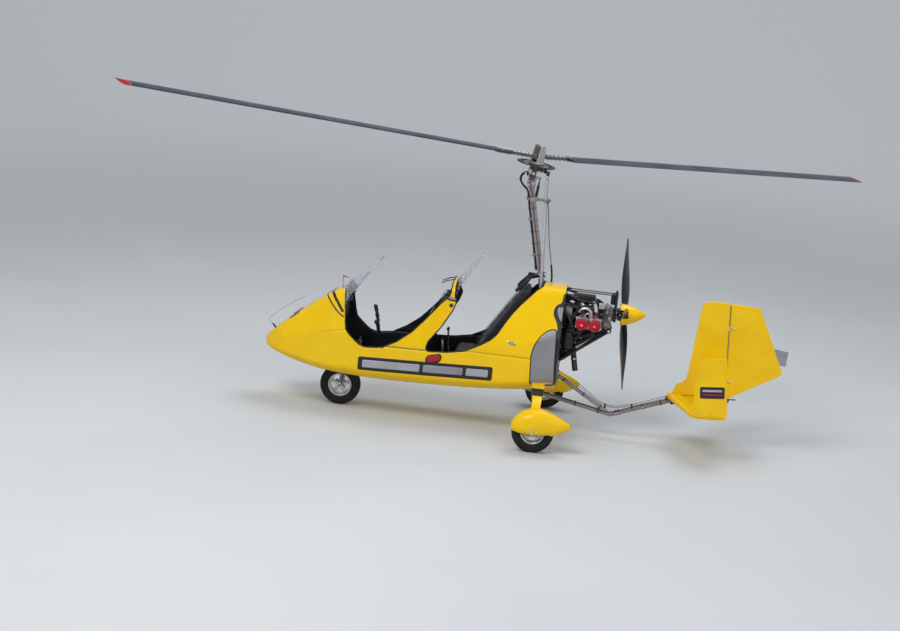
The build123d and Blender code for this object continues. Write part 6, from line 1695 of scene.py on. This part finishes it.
def spat(sign):
    """Points of a spat from nose to tail; each section runs from one edge of the wheel's opening over the top to the
    other: y = wide |sin a|^(2/2.35) and z the same in cos a, with their signs."""
    x = .062 + .5285 * (1 - np.cos(np.linspace(0, pi, 90))) / 2
    top, low, wide = (np.interp(x, *line.T)[:, None] for line in (spat_top, spat_low, spat_wide))
    gap = np.clip((x - .078) / .03, 0, 1) * np.clip((.455 - x) / .05, 0, 1)
    turn = pi * (1 - .262 * gap * gap * (3 - 2 * gap))[:, None] * np.linspace(-1, 1, 65)
    across, up = (np.sign(wave) * np.abs(wave) ** (2 / 2.35) for wave in (np.sin(turn), np.cos(turn)))
    return np.stack([x[:, None] + 0 * turn, sign * .82 + wide * across, (top + low) / 2 + (top - low) / 2 * up], -1)


for label, sign in (("left", -1), ("right", 1)):
    skin = spat(sign)
    obj = piece(f"{label}_wheel_spat", outward(grid(skin), .26, sign * .82), [yellow_paint, plastic],
        stands_for=["wheel_spats"])
    wall_inward(obj, .0035, inner_finish=1)
    piece(f"{label}_spat_edging", [tube(skin[8:70, edge], .0036, 8, lean=Y) for edge in (0, -1)], rubber)
    piece(f"{label}_spat_bolts", [bolt((x, sign * .9368, z), (0, sign, .08), .012, .006) for x, z in
        ((.264, .187), (.264, .235), (.3, .21), (.228, .21))], bright)


# ---- Tail -------------------------------------------------------------------------------------

softened("tail_boom", frame_steel, 0)
softened("tail_fin", yellow_paint, .004, segments=3)
softened("tailplane", yellow_paint, .005, segments=3)
softened("rudder", yellow_paint, .003, "rudder_body", segments=3)
softened("trim_tab", tab_grey, .0006, "rudder_body")

joint, boom_start, brace_start = floats((.912, 0, .22)), floats((-.03, 0, .395)), floats((.4043, 0, .522))
boom_run, run_front, brace_run = unit((1.56, 0, .464) - joint), unit(joint - boom_start), unit((.88, 0, .24) -
    brace_start)
piece("boom_collars", [turned([(r * scale, h) for r, h in ((.0208, 0), (.0245, 0), (.0255, .001), (.0255, .011),
    (.0245, .012), (.0208, .012))], at + run * d, run, 40) for at, run, scale, places in
    ((joint, boom_run, 1, (.05, .075, .3, .47)), (boom_start, run_front, 1, (.3, .62, .84)),
    (brace_start, brace_run, .83, (.06, .28, .47))) for d in places], cast_alloy)
piece("boom_root_clamp", [plate(.074, .07, .012, joint + boom_run * .56, boom_run, 0, .06, .004, aside=Y),
    pair(*[bolt(joint + boom_run * d + (0, .0372, 0), Y, .01, .006) for d in (.575, .605)])], gloss)
piece("boom_bolts", pair(*[bolt(joint + boom_run * d + (0, .0252, 0), Y, .011, .006) for d in (.056, .081, .306)],
    *[bolt((.4055, .033, z), X, .013, .008) for z in (.489, .555)]), bright)
cable = [(.41, -.055, .54), (.6, -.04, .455), (.86, -.03, .3), (1.1, -.034, .33), (1.4, -.04, .445), (1.6, -.052, .5),
    (1.88, -.086, .498), (1.938, -.088, .4925)]
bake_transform(piece("rudder_cables", pair(hose(cable, .0026, 120, 8)), gear_steel, None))
piece("keel_cable", hose([(.02, -.026, .405), (.35, -.0265, .345), (.7, -.0265, .28), (.9, -.0265, .247),
    (1.1, -.0265, .318), (1.46, -.0265, .452)], .0035, 100, 8), loom_sleeve)
piece("cable_guides", [brick((x - .008, s * .03 - .012, z - .01), (x + .008, s * .03 + .012, z + .012), .004, .002)
    for x, z in ((.86, .292), (1.1, .322), (1.4, .437)) for s in (1, -1)], rubber)

# Rudder: horn, hinge pins, rounded front edge, gap seals and tab fittings
hinge_base, hinge_lean = np.array((1.942, 0, .501)), radians(3.3)
hinge_up = np.array((-sin(hinge_lean), 0, cos(hinge_lean)))
hinge_back = np.array((cos(hinge_lean), 0, sin(hinge_lean)))
piece("rudder_horn", [slab(np.array([(-.014, -.1), (.012, -.1), (.022, 0), (.012, .1), (-.014, .1), (-.008, 0)]),
    placement(hinge_base - hinge_up * .012, hinge_back, hinge_up), -.006, 0, .0015), plate(.07, .026, .006, hinge_base -
    hinge_up * .0105 + hinge_back * .043, hinge_up, 0, .006, .0012, aside=hinge_back), *[bolt(hinge_base - hinge_up *
    .012 + (0, s * .088, 0), hinge_up, .01, .008) for s in (1, -1)]], gloss, "rudder_body")
piece("hinge_pins", [bolt(hinge_base + hinge_up * height, hinge_up, .012, .006, False) for height in (.1675, .6575)],
    bright)
nose_outline = circle(np.radians(np.linspace(122, 238, 15))) * .0216
spans = ((.012, .14), (.17, .628), (.662, .858))
piece("rudder_nose", [slab(nose_outline, placement(hinge_base, hinge_back, hinge_up), *span, .0006) for span in spans],
    yellow_paint, "rudder_body")
piece("rudder_gap_seal", [plate(.006, .034, .002, hinge_base - hinge_back * .0265, hinge_up, *span, .001, steps=3,
    aside=hinge_back) for span in spans], rubber)
piece("trim_tab_sides", pair(plate(.132, .134, .008, (2.36, .0046, .934), Y, 0, .0012, .0004, aside=(1, 0, -.12))),
    tab_grey, "rudder_body")
piece("trim_tab_plates", pair(*[plate(.052, .014, .003, (2.312 + .0115 * k, .0035, .93 - .036 * k), Y, 0, .0022, .0006,
    aside=(1, 0, -.12)) for k in (-1, 0, 1)], *[bolt((2.299 + .0115 * k, .0062, .931 - .036 * k), Y, .0055, .0025,
    False) for k in (-1, 0, 1)]), light_alloy, "rudder_body")

# End plates: a border drawn in from the outline, and a blank plaque with two stripes
end_plate = ((1.64, .912), (1.652, .942), (1.672, .953), (1.872, .978), (1.934, .48), (1.925, .444), (1.645, .424),
    (1.622, .436))
line = ringed(end_plate, 260, 12)
ahead = np.roll(line, -1, 0) - np.roll(line, 1, 0)
border = line + unit(ahead @ ((0, -1), (1, 0))) * .016
for label, s in (("left", -1), ("right", 1)):
    path = np.column_stack([border[:, 0], np.full(len(border), s * .516), border[:, 1]])
    piece(f"{label}_end_plate_border", closed_tube(path, .003, Y), yellow_paint)
    for part, width, height, corner, x, y, z, thick, ease, material in (("plaque", .215, .105, .012, 1.782, .516, .657,
            .001, .3, decal_black), ("stripe", .175, .02, .009, 1.78, .517, .675, .0006, 1 / 3, decal_grey), ("dash",
            .175, .012, .0055, 1.784, .517, .638, .0006, 1 / 3, decal_red)):
        piece(f"{label}_end_plate_{part}", plate(width, height, corner, (x, s * y, z), s * Y, 0, thick, thick * ease,
            aside=(.992, 0, .105)), material)
    piece(f"{label}_end_plate_screws", [bolt((x, s * .5165, z), s * Y, .009, .0035, False) for x, z in
        ((1.668, .452), (1.78, .458), (1.9, .466))], bright)


# ---- Floor, light and camera ------------------------------------------------------------------

def stage_surface():
    """A pale floor that curves up behind: level to y = 16, then a quarter turn of radius 8, then upright."""
    level, radius = 16, 8
    bend = (level, radius) + circle(np.linspace(-pi / 2, 0, 24)) * radius
    profile = np.vstack([(-40, 0), (level, 0), bend[1:], (level + radius, 30)])
    return grid(np.stack([np.column_stack([np.full(len(profile), x), profile]) for x in (-45, 0, 45)]))


def make_backdrop_paper():
    """Pale matt paper with a faint cloudiness, paler away from the lamps: from 8 m to 20 m out from the middle."""
    material, tree, shader, where = new_material("pale backdrop paper")
    tone = put(tree, surface_group, Colour=(.6, .62, .64, 1), Second=(.58, .6, .62, 1), Patch_Scale=.4,
        Speck_Scale=200.0, Speck_Share=.05, Low_Roughness=.85, High_Roughness=.95)
    distance, share, paler = add(tree, "ShaderNodeVectorMath"), ramp_node(tree, 8, 20), mixer(tree, "RGBA")
    distance.operation = "LENGTH"
    paler.inputs["B"].default_value = (.93, .95, .965, 1)
    wire(tree, (where, "Object", tone, "Vector"), (where, "Object", distance, 0), (distance, "Value", share, "Value"),
        (share, "Result", paler, "Factor"), (tone, "Colour", paler, "A"), (paler, "Result", shader, "Base Color"),
        (tone, "Roughness", shader, "Roughness"))
    return material


floor_points, floor_faces = stage_surface()
floor_mesh = bpy.data.meshes.new("studio_floor")
floor_mesh.from_pydata(floor_points.tolist(), [], floor_faces.tolist())
floor_mesh.materials.append(make_backdrop_paper())
floor_mesh.shade_smooth()
floor = bpy.data.objects.new("studio_floor", floor_mesh)
bpy.context.scene.collection.objects.link(floor)


def soft_light(name, place, target, size, watts, tint=(1, 1, 1)):
    """A large square lamp that looks at a point."""
    data = bpy.data.lights.new(name, "AREA")
    data.shape, data.size, data.energy, data.color = "SQUARE", size, watts, tint
    lamp = bpy.data.objects.new(name, data)
    lamp.location = place
    lamp.rotation_euler = (Vector(target) - Vector(place)).to_track_quat("-Z", "Y").to_euler()
    bpy.context.scene.collection.objects.link(lamp)


soft_light("key_light", (-4.5, -7.5, 9.5), (0, 0, .8), 5.0, 820, (1.0, .985, .96))
soft_light("top_light", (2.5, 3.0, 10.5), (0, 0, .8), 6.0, 430, (.97, .985, 1.0))
soft_light("fill_light", (9.6, -11.6, 6.0), (0, 0, 1.0), 8.5, 395, (.95, .975, 1.0))

world = bpy.data.worlds.new("soft surround")
bpy.context.scene.world = world
world.use_nodes = True
surround = world.node_tree.nodes["Background"]
surround.inputs["Color"].default_value = (.86, .9, .95, 1)
surround.inputs["Strength"].default_value = .42

camera_data = bpy.data.cameras.new("photo_camera")
camera_data.lens, camera_data.sensor_width, camera_data.sensor_fit, camera_data.clip_end = 80.5, 36, "HORIZONTAL", 200
camera = bpy.data.objects.new("photo_camera", camera_data)
view_dir, view_up = Vector((-.0868, .9746, -.2067)), Vector((-.1221, .1955, .9731))
view_right = view_dir.cross(view_up).normalized()
view_up = view_right.cross(view_dir).normalized()
turned_frame = Matrix((view_right, view_up, -view_dir.normalized())).transposed()
camera.matrix_world = Matrix.Translation((.955, -17.869, 4.74)) @ turned_frame.to_4x4()
bpy.context.scene.collection.objects.link(camera)
bpy.context.scene.camera = camera
bpy.context.scene.view_settings.view_transform = "Standard"
